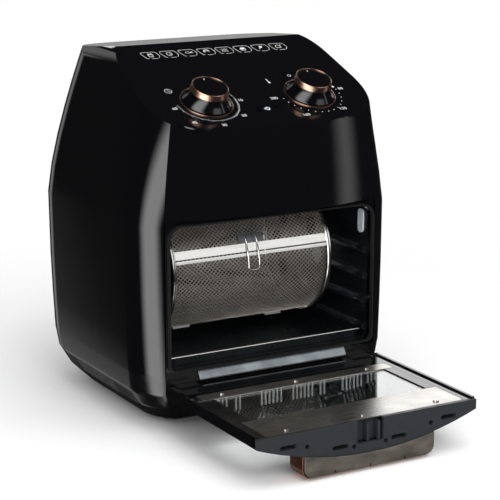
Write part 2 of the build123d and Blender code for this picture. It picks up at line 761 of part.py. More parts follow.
with BuildPart() as thermal_fuse:
    with BuildSketch(Plane.XY.offset(chamber_roof)) as fuse_plan:
        with Locations((-50, fan_line + 50)):
            Circle(8)
    extrude(amount=7)
save(thermal_fuse.part, "thermal_fuse")

with BuildPart() as thermostat_bulb:
    bulb_y = fan_line - chamber_r + 14.0
    with BuildSketch(Plane.YZ.offset(-32)) as bulb_end:
        with Locations((bulb_y, cavity_top - 8)):
            Circle(2.4)
    extrude(amount=64)
    with BuildSketch(Plane.YZ.offset(-30)) as bulb_clips:
        with Locations((bulb_y, cavity_top - 3.6)):
            Rectangle(3, 4.8)
    extrude(amount=60)
save(thermostat_bulb.part, "thermostat_bulb")

with BuildPart() as lamp_lens:
    lens_face = opening_half - 2.0
    with BuildSketch(Plane.YZ.offset(lens_face)) as lens_plan:
        with Locations((lamp_y, lamp_z)):
            SlotOverall(lamp_tall - 2 * gap, lamp_wide - 2 * gap, rotation=90)
    extrude(amount=3)
save(lamp_lens.part, "lamp_lens")

holder_deep = 14.0
with BuildPart() as lamp_holder:
    with BuildSketch(Plane.YZ.offset(opening_half + sheet)) as holder_plan:
        with Locations((lamp_y, lamp_z)):
            SlotOverall(lamp_tall + 4, lamp_wide + 4, rotation=90)
            SlotOverall(lamp_tall - 3, lamp_wide - 3, rotation=90, mode=Mode.SUBTRACT)
    extrude(amount=holder_deep)
    with BuildSketch(Plane.YZ.offset(opening_half + sheet + holder_deep)) as holder_back:
        with Locations((lamp_y, lamp_z)):
            SlotOverall(lamp_tall + 4, lamp_wide + 4, rotation=90)
    extrude(amount=2)
save(lamp_holder.part, "lamp_holder")

lamp_bulb_r = 3.2
with BuildPart() as lamp_bulb:
    with BuildSketch(Plane.YZ.offset(lens_face + 4)) as bulb_plan:
        with Locations((lamp_y, lamp_z)):
            Circle(lamp_bulb_r)
    extrude(amount=opening_half + sheet + holder_deep - lens_face - 4)
    fillet(lamp_bulb.faces().sort_by(Axis.X)[0].edges(), lamp_bulb_r * 0.8)
save(lamp_bulb.part, "lamp_bulb")

# Drum and its drive


def drum_sector(level, inner, outer, start, end):
    """Ring sector round the drum's axis; angles are measured up from the front."""
    section = Plane(origin=(drum_x + level, drum_line, drum_z), x_dir=(0, -1, 0), z_dir=(-1, 0, 0))
    a = [cos(radians(start)), sin(radians(start))]
    b = [cos(radians(end)), sin(radians(end))]
    with BuildSketch(section) as ring:
        with BuildLine():
            CenterArc((0, 0), outer, start, end - start)
            Line((b[0] * outer, b[1] * outer), (b[0] * inner, b[1] * inner))
            CenterArc((0, 0), inner, start, end - start)
            Line((a[0] * outer, a[1] * outer), (a[0] * inner, a[1] * inner))
        make_face()
    return ring.sketch


lid_low = -85.0
part_gap = 0.6              # degrees left at each seam of the lid
strap = 4.0                 # degrees covered by a narrow seam strap
wide_strap = 8.0            # and by the one over the drum's front seam
disc = 1.5
mesh_half = drum_half - disc
with BuildPart() as drum_basket:
    extrude(drum_sector(0, drum_r - mesh, drum_r, seam_angle + part_gap, 360 + lid_low - part_gap),
            amount=mesh_half, both=True)
    extrude(drum_sector(0, drum_r, drum_r + 1.2, seam_angle + part_gap, seam_angle + wide_strap),
            amount=mesh_half, both=True)
    extrude(drum_sector(0, drum_r, drum_r + 1.2, 360 + lid_low - strap, 360 + lid_low - part_gap),
            amount=mesh_half, both=True)
save(drum_basket.part, "drum_basket")

lid_half = mesh_half - 0.8
tab_angle = radians(lid_low)
tab_r = drum_r + 0.6
tab_plane = Plane(origin=(drum_x, drum_line - cos(tab_angle) * tab_r, drum_z + sin(tab_angle) * tab_r),
                  x_dir=(1, 0, 0), z_dir=(0, -cos(tab_angle), sin(tab_angle)))
with BuildPart() as drum_lid:
    extrude(drum_sector(0, drum_r - mesh, drum_r, lid_low + part_gap, seam_angle - part_gap),
            amount=lid_half, both=True)
    extrude(drum_sector(0, drum_r, drum_r + 1.2, seam_angle - strap, seam_angle - part_gap),
            amount=lid_half, both=True)
    extrude(drum_sector(0, drum_r, drum_r + 1.2, lid_low + part_gap, lid_low + strap),
            amount=lid_half, both=True)
    with BuildSketch(tab_plane) as hinge_tabs:
        with Locations((-62, 3.6), (62, 3.6)):
            Rectangle(22, 4.4)
    extrude(amount=3.0)
save(drum_lid.part, "drum_lid")

tang_long = 10.0
for name, side in (("drum_left_end", -1), ("drum_right_end", 1)):
    face_x = drum_x + side * mesh_half
    with BuildPart() as drum_end:
        with BuildSketch(Plane.YZ.offset(face_x)) as end_disc:
            with Locations((drum_line, drum_z)):
                Circle(drum_r + rim)
                with PolarLocations(drum_r * 0.62, 8):
                    Circle(11, mode=Mode.SUBTRACT)
        extrude(amount=side * disc)
        with BuildSketch(Plane.YZ.offset(face_x + side * disc)) as end_boss:
            with Locations((drum_line, drum_z)):
                Circle(10)
        extrude(amount=side * 3)
        with BuildSketch(Plane.YZ.offset(face_x + side * (disc + 3))) as end_tang:
            with Locations((drum_line, drum_z)):
                if side < 0:
                    Rectangle(8, 8)
                else:
                    Circle(4)
        extrude(amount=side * tang_long)
    save(drum_end.part, name)

clip_r = drum_r + 1.2       # over the seam straps
wire = 1.4
wire_x = 7.0
wire_low = seam_angle - 16.0
plate_low = seam_angle + wide_strap + 0.5
plate_half_wide = 16.0
plate_high = plate_low + 8.0
with BuildPart() as drum_clip:
    extrude(drum_sector(0, clip_r, clip_r + wire, seam_angle - strap, seam_angle - part_gap), amount=9,
            both=True)
    for side in (-1, 1):
        extrude(drum_sector(side * wire_x, clip_r + 0.2, clip_r + wire, wire_low, plate_low + 1),
                amount=wire / 2, both=True)
    extrude(drum_sector(0, clip_r + 0.2, clip_r + wire, wire_low - 1, wire_low + 0.2),
            amount=wire_x + wire / 2, both=True)
    extrude(drum_sector(0, clip_r + 0.2, clip_r + wire, plate_low, plate_high), amount=plate_half_wide, both=True)
save(drum_clip.part, "drum_clip")

socket_in = drum_x - drum_half - 5.0
socket_back = drum_x - drum_half - 14.0
with BuildPart() as drive_socket:
    with BuildSketch(Plane.YZ.offset(socket_back)) as socket_cup:
        with Locations((drum_line, drum_z)):
            Circle(10)
            Rectangle(8.4, 8.4, mode=Mode.SUBTRACT)
    extrude(amount=socket_in - socket_back)
    with BuildSketch(Plane.YZ.offset(socket_back)) as socket_base:
        with Locations((drum_line, drum_z)):
            Circle(10)
    extrude(amount=-2)
    with BuildSketch(Plane.YZ.offset(socket_back - 2)) as socket_shaft:
        with Locations((drum_line, drum_z)):
            Circle(4)
    extrude(amount=-18)
save(drive_socket.part, "drive_socket")

with BuildPart() as drum_motor:
    with BuildSketch(Plane.YZ.offset(-(opening_half + sheet))) as drum_motor_plan:
        with Locations((drum_line, drum_z)):
            Circle(24)
    extrude(amount=-18)
    with BuildSketch(Plane.YZ.offset(-(opening_half + sheet))) as drum_motor_bore:
        with Locations((drum_line, drum_z)):
            Circle(4 + slip)
    extrude(amount=-16, mode=Mode.SUBTRACT)
save(drum_motor.part, "drum_motor")

with BuildPart() as drum_bearing:
    bearing_in = drum_x + drum_half + 8.0
    with BuildSketch(Plane.YZ.offset(bearing_in)) as bearing_plan:
        with Locations((drum_line, drum_z)):
            Circle(12)
        with Locations((drum_line, drum_z - 12)):
            Rectangle(24, 24)
        with Locations((drum_line, drum_z)):
            Circle(4 + slip, mode=Mode.SUBTRACT)
    extrude(amount=opening_half - rail_deep - 1 - bearing_in)
    with BuildSketch(Plane.YZ.offset(opening_half - rail_deep - 1)) as bearing_foot:
        with Locations((drum_line, drum_z)):
            Circle(6)
    extrude(amount=rail_deep + 1)
save(drum_bearing.part, "drum_bearing")

# Door, drawn open: it lies level with its inner face up

rim_in = crease - 3.5
rim_high = door_top + 2.0
plate_thick = 1.2
plate_half = 124.0
plate_rear = hinge_line - 32.0
plate_front = door_edge + end_cap + 1.5
plate_screws = [(x, y) for y in (plate_front + 10, plate_rear - 8) for x in (-95, 0, 95)]
window_half = 112.0
window_rear = hinge_line - 51.0
window_front = door_edge + 58.0
pocket_half = 118.0
pocket_rear = hinge_line - 40.0
pocket_front = door_edge + 15.0
slot_groups = ((-100, 3), (-78, 2), (-45, 6), (-4, 6), (32, 2), (62, 6), (96, 3))
slot_pitch = 5.0
door_slots = [x + slot_pitch * i for x, count in slot_groups for i in range(count)]


def door_section(at_y, drop=0.0, trim=0.0):
    """Cross-section of the door: level on top, swelling down towards its middle."""
    side = crease - trim
    sag = bow * (1 - (side / crease) ** 2)
    edge_z = door_under - sag + drop
    with BuildSketch(Plane.XZ.offset(-at_y)) as section:
        with BuildLine():
            Polyline((-side, edge_z), (-side, door_top), (side, door_top), (side, edge_z))
            ThreePointArc((side, edge_z), (0, door_under - bow + drop), (-side, edge_z))
        make_face()
    return section.sketch


with BuildPart() as door_shell:
    extrude(door_section(door_back), amount=door_back - door_edge - end_cap)
    for side in (-1, 1):
        with BuildSketch(Plane.XY.offset(door_top)) as rim_plan:
            with Locations((side * (crease + rim_in) / 2, (door_back - 9 + door_edge + end_cap) / 2)):
                Rectangle(crease - rim_in, door_back - 9 - door_edge - end_cap)
        extrude(amount=rim_high - door_top)
    with BuildSketch(Plane.YZ.offset(-wide / 2)) as tail_corner:
        with BuildLine():
            Polyline((door_back + 1, door_top + 1), (door_back - 4, door_top + 1),
                     (door_back - 3, door_top), (door_back, door_top - 3), (door_back + 1, door_top - 4),
                     close=True)
        make_face()
    extrude(amount=wide, mode=Mode.SUBTRACT)
    with BuildPart(mode=Mode.PRIVATE) as pocket:
        extrude(door_section(pocket_rear, drop=door_skin), amount=pocket_rear - pocket_front)
        with BuildSketch(Plane.XY) as pocket_plan:
            with Locations((0, (pocket_rear + pocket_front) / 2)):
                Rectangle(pocket_half * 2, pocket_rear - pocket_front)
        extrude(amount=door_top, mode=Mode.INTERSECT)
    add(pocket.part, mode=Mode.SUBTRACT)
    with BuildSketch(Plane.XY) as window_plan:
        with Locations((0, (window_rear + window_front) / 2)):
            RectangleRounded((window_half - 6) * 2, window_rear - window_front - 4, 8)
    extrude(amount=door_top, mode=Mode.SUBTRACT)
    with BuildSketch(Plane.XY.offset(door_top - plate_thick)) as plate_seat:
        with Locations((0, (plate_rear + plate_front) / 2)):
            RectangleRounded((plate_half + gap) * 2, plate_rear - plate_front + 2 * gap, 6)
    extrude(amount=plate_thick, mode=Mode.SUBTRACT)
    for side in (-1, 1):
        with BuildSketch(Plane.XY.offset(hinge_z - lug_r - 1.5)) as lug_notch:
            with Locations((side * (lug_in + lug_out) / 2, (hinge_line - lug_r - 1.5 + door_back + 5) / 2)):
                Rectangle(lug_out - lug_in + 2, door_back + 5 - hinge_line + lug_r + 1.5)
        extrude(amount=40, mode=Mode.SUBTRACT)
        with BuildSketch(Plane.YZ.offset(side * (lug_in - 5))) as pin_bore:
            with Locations((hinge_line, hinge_z)):
                Circle(pin_r)
        extrude(amount=side * (lug_out - lug_in + 9), mode=Mode.SUBTRACT)
    with BuildSketch(Plane.XZ.offset(-(door_back + 1))) as vent_comb:
        with Locations(*[(x, 44.0) for x in door_slots]):
            Rectangle(2.4, 12)
    extrude(amount=door_back + 1 - pocket_rear + 1, mode=Mode.SUBTRACT)
    catch_half = 17.0
    catch_low = 31.0
    catch_back = door_edge + end_cap + 7.5
    with BuildSketch(Plane.XZ.offset(-catch_back)) as catch_room:
        with Locations((0, (catch_low + door_top + 2) / 2)):
            Rectangle(catch_half * 2, door_top + 2 - catch_low)
    extrude(amount=30, mode=Mode.SUBTRACT)
save(door_shell.part, "door_shell")

with BuildPart() as door_end_cap:
    extrude(door_section(door_edge + end_cap), amount=end_cap)
    with BuildSketch(Plane.XZ.offset(-(door_edge + end_cap + 1))) as cap_cuts:
        for side in (-1, 1):
            with Locations((side * 101, 42), (side * 37, 31)):
                SlotOverall(20, 5)
            with Locations((side * 78, 39), (side * 20, 29)):
                Circle(2.6)
        with Locations((0, (catch_low + door_top + 2) / 2)):
            Rectangle(catch_half * 2 - 1, door_top + 2 - catch_low)
    extrude(amount=end_cap + 2, mode=Mode.SUBTRACT)
save(door_end_cap.part, "door_end_cap")

with BuildPart() as door_catch:
    with BuildSketch(Plane.XZ.offset(-catch_back)) as catch_plate:
        with Locations((0, (catch_low + door_top - 3) / 2)):
            Rectangle(catch_half * 2 - 1, door_top - 3 - catch_low)
    extrude(amount=1.5)
    with BuildSketch(Plane.XZ.offset(-(catch_back - 1.5))) as catch_fins:
        with Locations((-2, (catch_low + door_top - 3) / 2), (12, (catch_low + door_top - 3) / 2)):
            Rectangle(3, door_top - 5 - catch_low)
    extrude(amount=8.5)
save(door_catch.part, "door_catch")

with BuildPart() as door_inner_plate:
    with BuildSketch(Plane.XY.offset(door_top - plate_thick)) as plate_plan:
        with Locations((0, (plate_rear + plate_front) / 2)):
            RectangleRounded(plate_half * 2, plate_rear - plate_front, 6)
        with Locations((0, (window_rear + window_front) / 2)):
            RectangleRounded(window_half * 2, window_rear - window_front, 8, mode=Mode.SUBTRACT)
        with Locations(*plate_screws):
            Circle(1.6, mode=Mode.SUBTRACT)
    extrude(amount=plate_thick)
save(door_inner_plate.part, "door_inner_plate")

with BuildPart() as door_screws:
    with BuildSketch(Plane.XY.offset(door_top)) as screw_heads:
        with Locations(*plate_screws):
            Circle(3.2)
    extrude(amount=1.4)
    with BuildSketch(Plane.XY.offset(door_top - plate_thick)) as screw_shanks:
        with Locations(*plate_screws):
            Circle(1.5)
    extrude(amount=plate_thick)
save(door_screws.part, "door_screws")

with BuildPart() as door_inner_glass:
    with BuildSketch(Plane.XY.offset(door_top - plate_thick - glass)) as inner_pane:
        with Locations((0, (pocket_rear + pocket_front) / 2)):
            Rectangle((pocket_half - gap) * 2, pocket_rear - pocket_front - 2 * gap)
    extrude(amount=glass)
save(door_inner_glass.part, "door_inner_glass")

with BuildPart() as door_outer_glass:
    extrude(door_section(pocket_rear - gap, drop=door_skin), amount=pocket_rear - pocket_front - 2 * gap)
    extrude(door_section(pocket_rear, drop=door_skin + glass), amount=pocket_rear - pocket_front,
            mode=Mode.SUBTRACT)
    with BuildSketch(Plane.XY) as outer_pane:
        with Locations((0, (pocket_rear + pocket_front) / 2)):
            Rectangle((pocket_half - gap) * 2, pocket_rear - pocket_front)
    extrude(amount=door_top, mode=Mode.INTERSECT)
save(door_outer_glass.part, "door_outer_glass")

with BuildPart() as hinge_pins:
    for side in (-1, 1):
        with BuildSketch(Plane.YZ.offset(side * (lug_in - 5))) as pin_plan:
            with Locations((hinge_line, hinge_z)):
                Circle(pin_r)
        extrude(amount=side * (lug_out - lug_in + 9))
save(hinge_pins.part, "hinge_pins")

band_thick = 1.5
handle_front = door_edge + end_cap
handle_rear = door_edge + handle_deep
with BuildPart() as door_outline:
    extrude(door_section(door_back), amount=door_back - door_edge + 20)
core_half = handle_half - band_thick
core_low = handle_floor + band_thick
grip_rise = 40.0            # tall enough to end inside the door


def grip_outline(at_y, half_w, low, corner):
    """Front view of the handle: a bar with rounded lower corners."""
    with BuildSketch(Plane.XZ.offset(-at_y)) as outline:
        with Locations((0, low + grip_rise / 2)):
            RectangleRounded(half_w * 2, grip_rise, corner)
    return outline.sketch


with BuildPart() as handle_core:
    extrude(grip_outline(handle_rear, core_half, core_low, handle_corner), amount=handle_rear - door_edge)
    with BuildSketch(Plane.XY.offset(core_low + handle_wall)) as finger_room:
        with Locations((0, (handle_front + handle_rear + 5) / 2)):
            Rectangle((core_half - 6) * 2, handle_rear + 5 - handle_front)
    extrude(amount=60, mode=Mode.SUBTRACT)
    add(door_outline.part, mode=Mode.SUBTRACT)
save(handle_core.part, "handle_core")

with BuildPart() as handle_band:
    extrude(grip_outline(handle_rear - 1, handle_half, handle_floor, handle_corner + band_thick),
            amount=handle_rear - door_edge - 2)
    extrude(grip_outline(handle_rear + 1, core_half, core_low, handle_corner),
            amount=handle_rear - door_edge + 2, mode=Mode.SUBTRACT)
    with BuildSketch(Plane.XY.offset(core_low + grip_rise / 2)) as over_band:
        with Locations((0, (door_edge + handle_rear) / 2)):
            Rectangle(core_half * 2, handle_rear - door_edge + 2)
    extrude(amount=grip_rise, mode=Mode.SUBTRACT)
    add(door_outline.part, mode=Mode.SUBTRACT)
save(handle_band.part, "handle_band")

with BuildPart() as handle_cover:
    with BuildSketch(Plane.XZ.offset(-door_edge)) as cover_face:
        with Locations((0, core_low + grip_rise / 2)):
            RectangleRounded(core_half * 2, grip_rise, handle_corner)
        with Locations((-44, core_low), (0, core_low), (44, core_low)):
            Rectangle(2, 6, mode=Mode.SUBTRACT)
    extrude(amount=2)
    add(door_outline.part, mode=Mode.SUBTRACT)
save(handle_cover.part, "handle_cover")

# Fasteners and mains inlet

with BuildPart() as housing_screws:
    with BuildSketch(Plane.XY.offset(base_low - 1.6)) as base_screw_heads:
        with Locations((-60, body_y - 60), (60, body_y - 60), (-60, body_y + 70), (60, body_y + 70)):
            Circle(3.4)
    extrude(amount=1.6)
    with BuildSketch(Plane.XZ.offset(-rear_face)) as rear_screw_heads:
        with Locations((-vent_half + 8, vent_low + 8), (vent_half - 8, vent_low + 8),
                       (0, vent_low + 5.5), (0, vent_high - 5.5)):
            Circle(3.4)
    extrude(amount=-1.6)
save(housing_screws.part, "housing_screws")

with BuildPart() as cord_gland:
    with BuildSketch(Plane.XZ.offset(-(back_y - 14))) as gland_plan:
        with Locations((inlet_x, inlet_z)):
            Circle(inlet_r)
            Circle(3.6, mode=Mode.SUBTRACT)
    extrude(amount=-19)
save(cord_gland.part, "cord_gland")

with BuildPart() as terminal_block:
    with BuildSketch(Plane.XY.offset(base_low + wall)) as terminal_plan:
        with Locations((86, body_y + 90)):
            RectangleRounded(36, 20, 2)
    extrude(amount=16)
save(terminal_block.part, "terminal_block")
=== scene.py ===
# %% [markdown]
# # A countertop air fryer oven
# The object is a glossy black oven with a glass door that lies open, a net drum inside it and two dials on a
# sloping panel. The engineering model is loaded first and stays where it is. Everything made below is a finish on
# one of its pieces, or a finer surface that takes a plain piece's place.

# %% Load the frame
import json
import math

import bmesh
import bpy
import numpy as np
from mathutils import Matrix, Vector

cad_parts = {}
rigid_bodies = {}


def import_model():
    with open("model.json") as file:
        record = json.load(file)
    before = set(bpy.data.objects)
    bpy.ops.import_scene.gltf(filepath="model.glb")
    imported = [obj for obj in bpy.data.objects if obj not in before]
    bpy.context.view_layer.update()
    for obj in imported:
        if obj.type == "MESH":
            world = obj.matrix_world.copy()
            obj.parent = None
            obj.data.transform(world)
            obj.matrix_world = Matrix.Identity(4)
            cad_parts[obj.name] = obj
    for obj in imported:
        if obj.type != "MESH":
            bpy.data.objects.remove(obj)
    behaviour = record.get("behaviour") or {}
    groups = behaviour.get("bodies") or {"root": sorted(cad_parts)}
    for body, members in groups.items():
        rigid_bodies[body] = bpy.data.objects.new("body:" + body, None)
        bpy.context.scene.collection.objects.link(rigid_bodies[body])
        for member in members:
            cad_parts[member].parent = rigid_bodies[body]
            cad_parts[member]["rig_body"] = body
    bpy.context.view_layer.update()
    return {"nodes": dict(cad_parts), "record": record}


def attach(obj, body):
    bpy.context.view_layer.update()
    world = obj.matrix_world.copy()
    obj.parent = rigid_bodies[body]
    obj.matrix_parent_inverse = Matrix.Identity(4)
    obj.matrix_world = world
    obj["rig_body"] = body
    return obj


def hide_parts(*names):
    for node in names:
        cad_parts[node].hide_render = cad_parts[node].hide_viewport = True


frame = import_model()
nodes = frame["nodes"]

# %% [markdown]
# ## Sizes
# Lengths are in millimetres, as on the drawing, and become metres when a mesh is made. The dials stand on a plane
# that tilts 25 degrees to the front, so a print on the panel is given by two numbers: how far right, and how far
# up the slope from the line through both dials.

# %% Sizes shared by the new surfaces
MM = 0.001
body_y = 93.5
panel_tilt = math.radians(25.0)
dial_origin = np.array([0.0, body_y - 108.4, 366.0])
dial_right = np.array([1.0, 0.0, 0.0])
dial_up = np.array([0.0, math.cos(panel_tilt), math.sin(panel_tilt)])
dial_out = np.array([0.0, -math.sin(panel_tilt), math.cos(panel_tilt)])
dial_half_pitch = 67.0
drum_x, drum_y, drum_z = -7.0, body_y - 34.0, 168.0
seam_angle, lid_low = 16.0, -85.0
door_top = 56.0


def on_panel(right, up, out=0.0):
    """Point over the panel: the dial plane's origin plus its three directions times the three distances."""
    right, up, out = np.broadcast_arrays(*(np.asarray(v, float)[..., None] for v in (right, up, out)))
    return dial_origin + right * dial_right + up * dial_up + out * dial_out


def on_drum(along, angle, radius):
    """Point on a cylinder round the drum's axis; the angle is in degrees, up from the front."""
    along, angle, radius = np.broadcast_arrays(*(np.asarray(v, float) for v in (along, angle, radius)))
    turn = np.radians(angle)
    return np.stack([drum_x + along, drum_y - radius * np.cos(turn), drum_z + radius * np.sin(turn)], -1)


# %% [markdown]
# ## Colour and material helpers
# Colours are written as the hex values that a screen shows, and one function turns them to the linear values that
# the shader works in. One more function adds a node with its settings and links.

# %% Colour and node helpers
def colour(hex_value):
    """Screen hex to linear RGBA: each channel by the sRGB curve, a straight foot and a 2.4 power above it."""
    rgb = np.array([int(hex_value[i:i + 2], 16) for i in (1, 3, 5)]) / 255
    linear = np.where(rgb <= 0.04045, rgb / 12.92, ((rgb + 0.055) / 1.055) ** 2.4)
    return (*linear.tolist(), 1.0)


def add(tree, kind, values=None, links=None, **settings):
    """Adds one node, sets its properties and input values, and links its inputs."""
    made = tree.nodes.new(kind)
    for key, value in settings.items():
        setattr(made, key, value)
    for socket, value in (values or {}).items():
        made.inputs[socket].default_value = value
    for socket, source in (links or {}).items():
        tree.links.new(source, made.inputs[socket])
    return made


def new_material(name, hex_value, **shader):
    """A material with one principled shader; returns it with its tree, shader and object coordinates."""
    made = bpy.data.materials.new(name)
    made.use_nodes = True
    tree = made.node_tree
    bsdf = tree.nodes["Principled BSDF"]
    bsdf.inputs["Base Color"].default_value = colour(hex_value)
    for key, value in shader.items():
        bsdf.inputs[key.replace("_", " ")].default_value = value
    coords = add(tree, "ShaderNodeTexCoord").outputs["Object"]
    return made, tree, bsdf, coords


def grain(tree, coords, millimetres, stretch=(1, 1, 1), detail=3.0):
    """Noise whose lumps are about so many millimetres, drawn out along an axis by a stretch above one."""
    scale = [1 / (millimetres * MM * s) for s in stretch]
    mapped = add(tree, "ShaderNodeMapping", {"Scale": scale}, {"Vector": coords}).outputs[0]
    return add(tree, "ShaderNodeTexNoise", {"Scale": 1.0, "Detail": detail}, {"Vector": mapped}).outputs["Fac"]


def spread(tree, source, low, high, start=0.3, end=0.7):
    """Maps noise between two limits to a wanted range."""
    values = {"From Min": start, "From Max": end, "To Min": low, "To Max": high}
    return add(tree, "ShaderNodeMapRange", values, {"Value": source}).outputs[0]


def raise_from(tree, bsdf, height, millimetres, strength=1.0):
    """Bump: the height pattern stands so many millimetres high."""
    bump = add(tree, "ShaderNodeBump", {"Strength": strength, "Distance": millimetres * MM}, {"Height": height})
    tree.links.new(bump.outputs[0], bsdf.inputs["Normal"])


def tint(tree, bsdf, factor, low_hex, high_hex):
    """Base colour that moves between two colours."""
    mix = add(tree, "ShaderNodeMix", {6: colour(low_hex), 7: colour(high_hex)}, {0: factor}, data_type="RGBA")
    tree.links.new(mix.outputs[2], bsdf.inputs["Base Color"])


# %% [markdown]
# ## Finishes
# The housing is ABS moulded in a polished tool, so it is nearly a mirror with a slight waviness that shows only in
# highlights. The door's end cap and handle come from a spark-eroded tool, which gives a fine dull grain. The trims
# are anodised aluminium, and the drum and door plate are stainless steel.

# %% Black mouldings
gloss_abs, tree, bsdf, coords = new_material("polished_black_abs", "#08080a", Roughness=0.06, IOR=1.53)
tree.links.new(spread(tree, grain(tree, coords, 18), 0.045, 0.085), bsdf.inputs["Roughness"])
raise_from(tree, bsdf, grain(tree, coords, 26, detail=1.0), 0.05, 0.35)

base_abs, tree, bsdf, coords = new_material("satin_black_abs", "#0b0b0d", Roughness=0.2, IOR=1.53)
tree.links.new(spread(tree, grain(tree, coords, 9), 0.16, 0.26), bsdf.inputs["Roughness"])
raise_from(tree, bsdf, grain(tree, coords, 1.2), 0.02, 0.4)

# The grain is drawn 0.9 mm wide, so that it shows at this size.
grained_abs, tree, bsdf, coords = new_material("spark_grained_black_abs", "#26272a", Roughness=0.46, IOR=1.53)
tree.links.new(spread(tree, grain(tree, coords, 12), 0.4, 0.52), bsdf.inputs["Roughness"])
tint(tree, bsdf, spread(tree, grain(tree, coords, 0.9), 0, 1), "#202124", "#2e2f33")
raise_from(tree, bsdf, grain(tree, coords, 0.9), 0.06, 0.6)

mottled_abs, tree, bsdf, coords = new_material("mottled_grey_abs", "#3b3935", Roughness=0.36, IOR=1.53)
tint(tree, bsdf, spread(tree, grain(tree, coords, 14, (2, 1, 1), 5), 0, 1), "#37342f", "#5a554d")
tree.links.new(spread(tree, grain(tree, coords, 5), 0.28, 0.46), bsdf.inputs["Roughness"])
raise_from(tree, bsdf, grain(tree, coords, 0.8), 0.05, 0.5)

rubber, tree, bsdf, coords = new_material("black_silicone_rubber", "#111112", Roughness=0.6, IOR=1.41)
tree.links.new(spread(tree, grain(tree, coords, 3), 0.52, 0.7), bsdf.inputs["Roughness"])
raise_from(tree, bsdf, grain(tree, coords, 1.5), 0.05, 0.5)

# %% Metals
# The brushed steel's grain is about 0.5 mm wide and is drawn out along X.
rose_gold, tree, bsdf, coords = new_material("rose_gold_anodised_aluminium", "#b8917f", Metallic=1.0, Roughness=0.28)
tree.links.new(spread(tree, grain(tree, coords, 0.8), 0.22, 0.36), bsdf.inputs["Roughness"])
tint(tree, bsdf, spread(tree, grain(tree, coords, 6), 0, 1), "#a8806d", "#c5a08d")

copper_satin, tree, bsdf, coords = new_material(
    "copper_brown_anodised_aluminium", "#8a5238", Metallic=1.0, Roughness=0.34)
tint(tree, bsdf, spread(tree, grain(tree, coords, 9), 0, 1), "#77452f", "#a0644a")
tree.links.new(spread(tree, grain(tree, coords, 1.0), 0.28, 0.42), bsdf.inputs["Roughness"])

steel, tree, bsdf, coords = new_material("brushed_stainless_steel", "#b9b7b3", Metallic=1.0, Roughness=0.3)
brushed = grain(tree, coords, 0.5, (60, 1, 1))
tree.links.new(spread(tree, brushed, 0.22, 0.38), bsdf.inputs["Roughness"])
tint(tree, bsdf, spread(tree, grain(tree, coords, 30), 0, 1), "#aeaba6", "#c6c4c0")
raise_from(tree, bsdf, brushed, 0.01, 0.5)

bright_steel, tree, bsdf, coords = new_material("polished_steel_strip", "#d4d3d0", Metallic=1.0, Roughness=0.2)
tree.links.new(spread(tree, grain(tree, coords, 2, (20, 1, 1)), 0.14, 0.26), bsdf.inputs["Roughness"])
raise_from(tree, bsdf, grain(tree, coords, 14), 0.05, 0.3)

net_steel, tree, bsdf, coords = new_material("expanded_steel_net", "#b4b0a8", Metallic=0.7, Roughness=0.4)
tint(tree, bsdf, spread(tree, grain(tree, coords, 20), 0, 1), "#a09b92", "#c6c2ba")
tree.links.new(spread(tree, grain(tree, coords, 4), 0.3, 0.46), bsdf.inputs["Roughness"])

# Non-stick coating: a thin dark film over steel, which keeps a soft metal sheen.
coated_steel, tree, bsdf, coords = new_material("non_stick_coated_steel", "#15171a", Metallic=0.35, Roughness=0.3)
tint(tree, bsdf, spread(tree, grain(tree, coords, 40), 0, 1), "#101214", "#1c1f23")
tree.links.new(spread(tree, grain(tree, coords, 3), 0.24, 0.38), bsdf.inputs["Roughness"])
raise_from(tree, bsdf, grain(tree, coords, 2), 0.02, 0.4)

rail_steel, tree, bsdf, coords = new_material("coated_steel_rail", "#767c84", Metallic=0.9, Roughness=0.2)
tint(tree, bsdf, spread(tree, grain(tree, coords, 20), 0, 1), "#666c74", "#858b93")
tree.links.new(spread(tree, grain(tree, coords, 3), 0.12, 0.22), bsdf.inputs["Roughness"])

aluminium, tree, bsdf, coords = new_material("satin_aluminium_strip", "#8d9499", Metallic=1.0, Roughness=0.32)
tree.links.new(spread(tree, grain(tree, coords, 0.6, (50, 1, 1)), 0.26, 0.4), bsdf.inputs["Roughness"])
tint(tree, bsdf, spread(tree, grain(tree, coords, 25), 0, 1), "#7f868b", "#a3aaae")

grey_metal, tree, bsdf, coords = new_material("zinc_plated_steel", "#7e8083", Metallic=0.9, Roughness=0.4)
tint(tree, bsdf, spread(tree, grain(tree, coords, 7), 0, 1), "#6d6f73", "#919396")

# %% Glass, print and small finishes
clear_glass, tree, bsdf, coords = new_material(
    "toughened_clear_glass", "#f4f7f6", Roughness=0.01, IOR=1.7, Transmission_Weight=1.0)
tree.links.new(spread(tree, grain(tree, coords, 30), 0.0, 0.04), bsdf.inputs["Roughness"])

outer_glass, tree, bsdf, coords = new_material(
    "toughened_tinted_glass", "#eceeef", Roughness=0.01, IOR=1.5, Transmission_Weight=1.0)
tree.links.new(spread(tree, grain(tree, coords, 40), 0.0, 0.03), bsdf.inputs["Roughness"])

lens_glass, tree, bsdf, coords = new_material(
    "frosted_lamp_glass", "#dfe6ea", Roughness=0.35, IOR=1.5, Transmission_Weight=0.3)
raise_from(tree, bsdf, grain(tree, coords, 2), 0.1, 0.4)


def let_light_through(material):
    """Shadow rays pass straight through the glass, so the floor below the door is lit."""
    tree = material.node_tree
    shadow = add(tree, "ShaderNodeLightPath").outputs["Is Shadow Ray"]
    clear = add(tree, "ShaderNodeBsdfTransparent")
    glass = tree.nodes["Principled BSDF"].outputs[0]
    mix = add(tree, "ShaderNodeMixShader", None, {0: shadow, 1: glass, 2: clear.outputs[0]})
    tree.links.new(mix.outputs[0], tree.nodes["Material Output"].inputs["Surface"])


for pane in (clear_glass, outer_glass):
    let_light_through(pane)

white_ink, tree, bsdf, coords = new_material("white_screen_print", "#dcdcdc", Roughness=0.45)
tint(tree, bsdf, spread(tree, grain(tree, coords, 2), 0, 1), "#cfcfcf", "#e6e6e6")

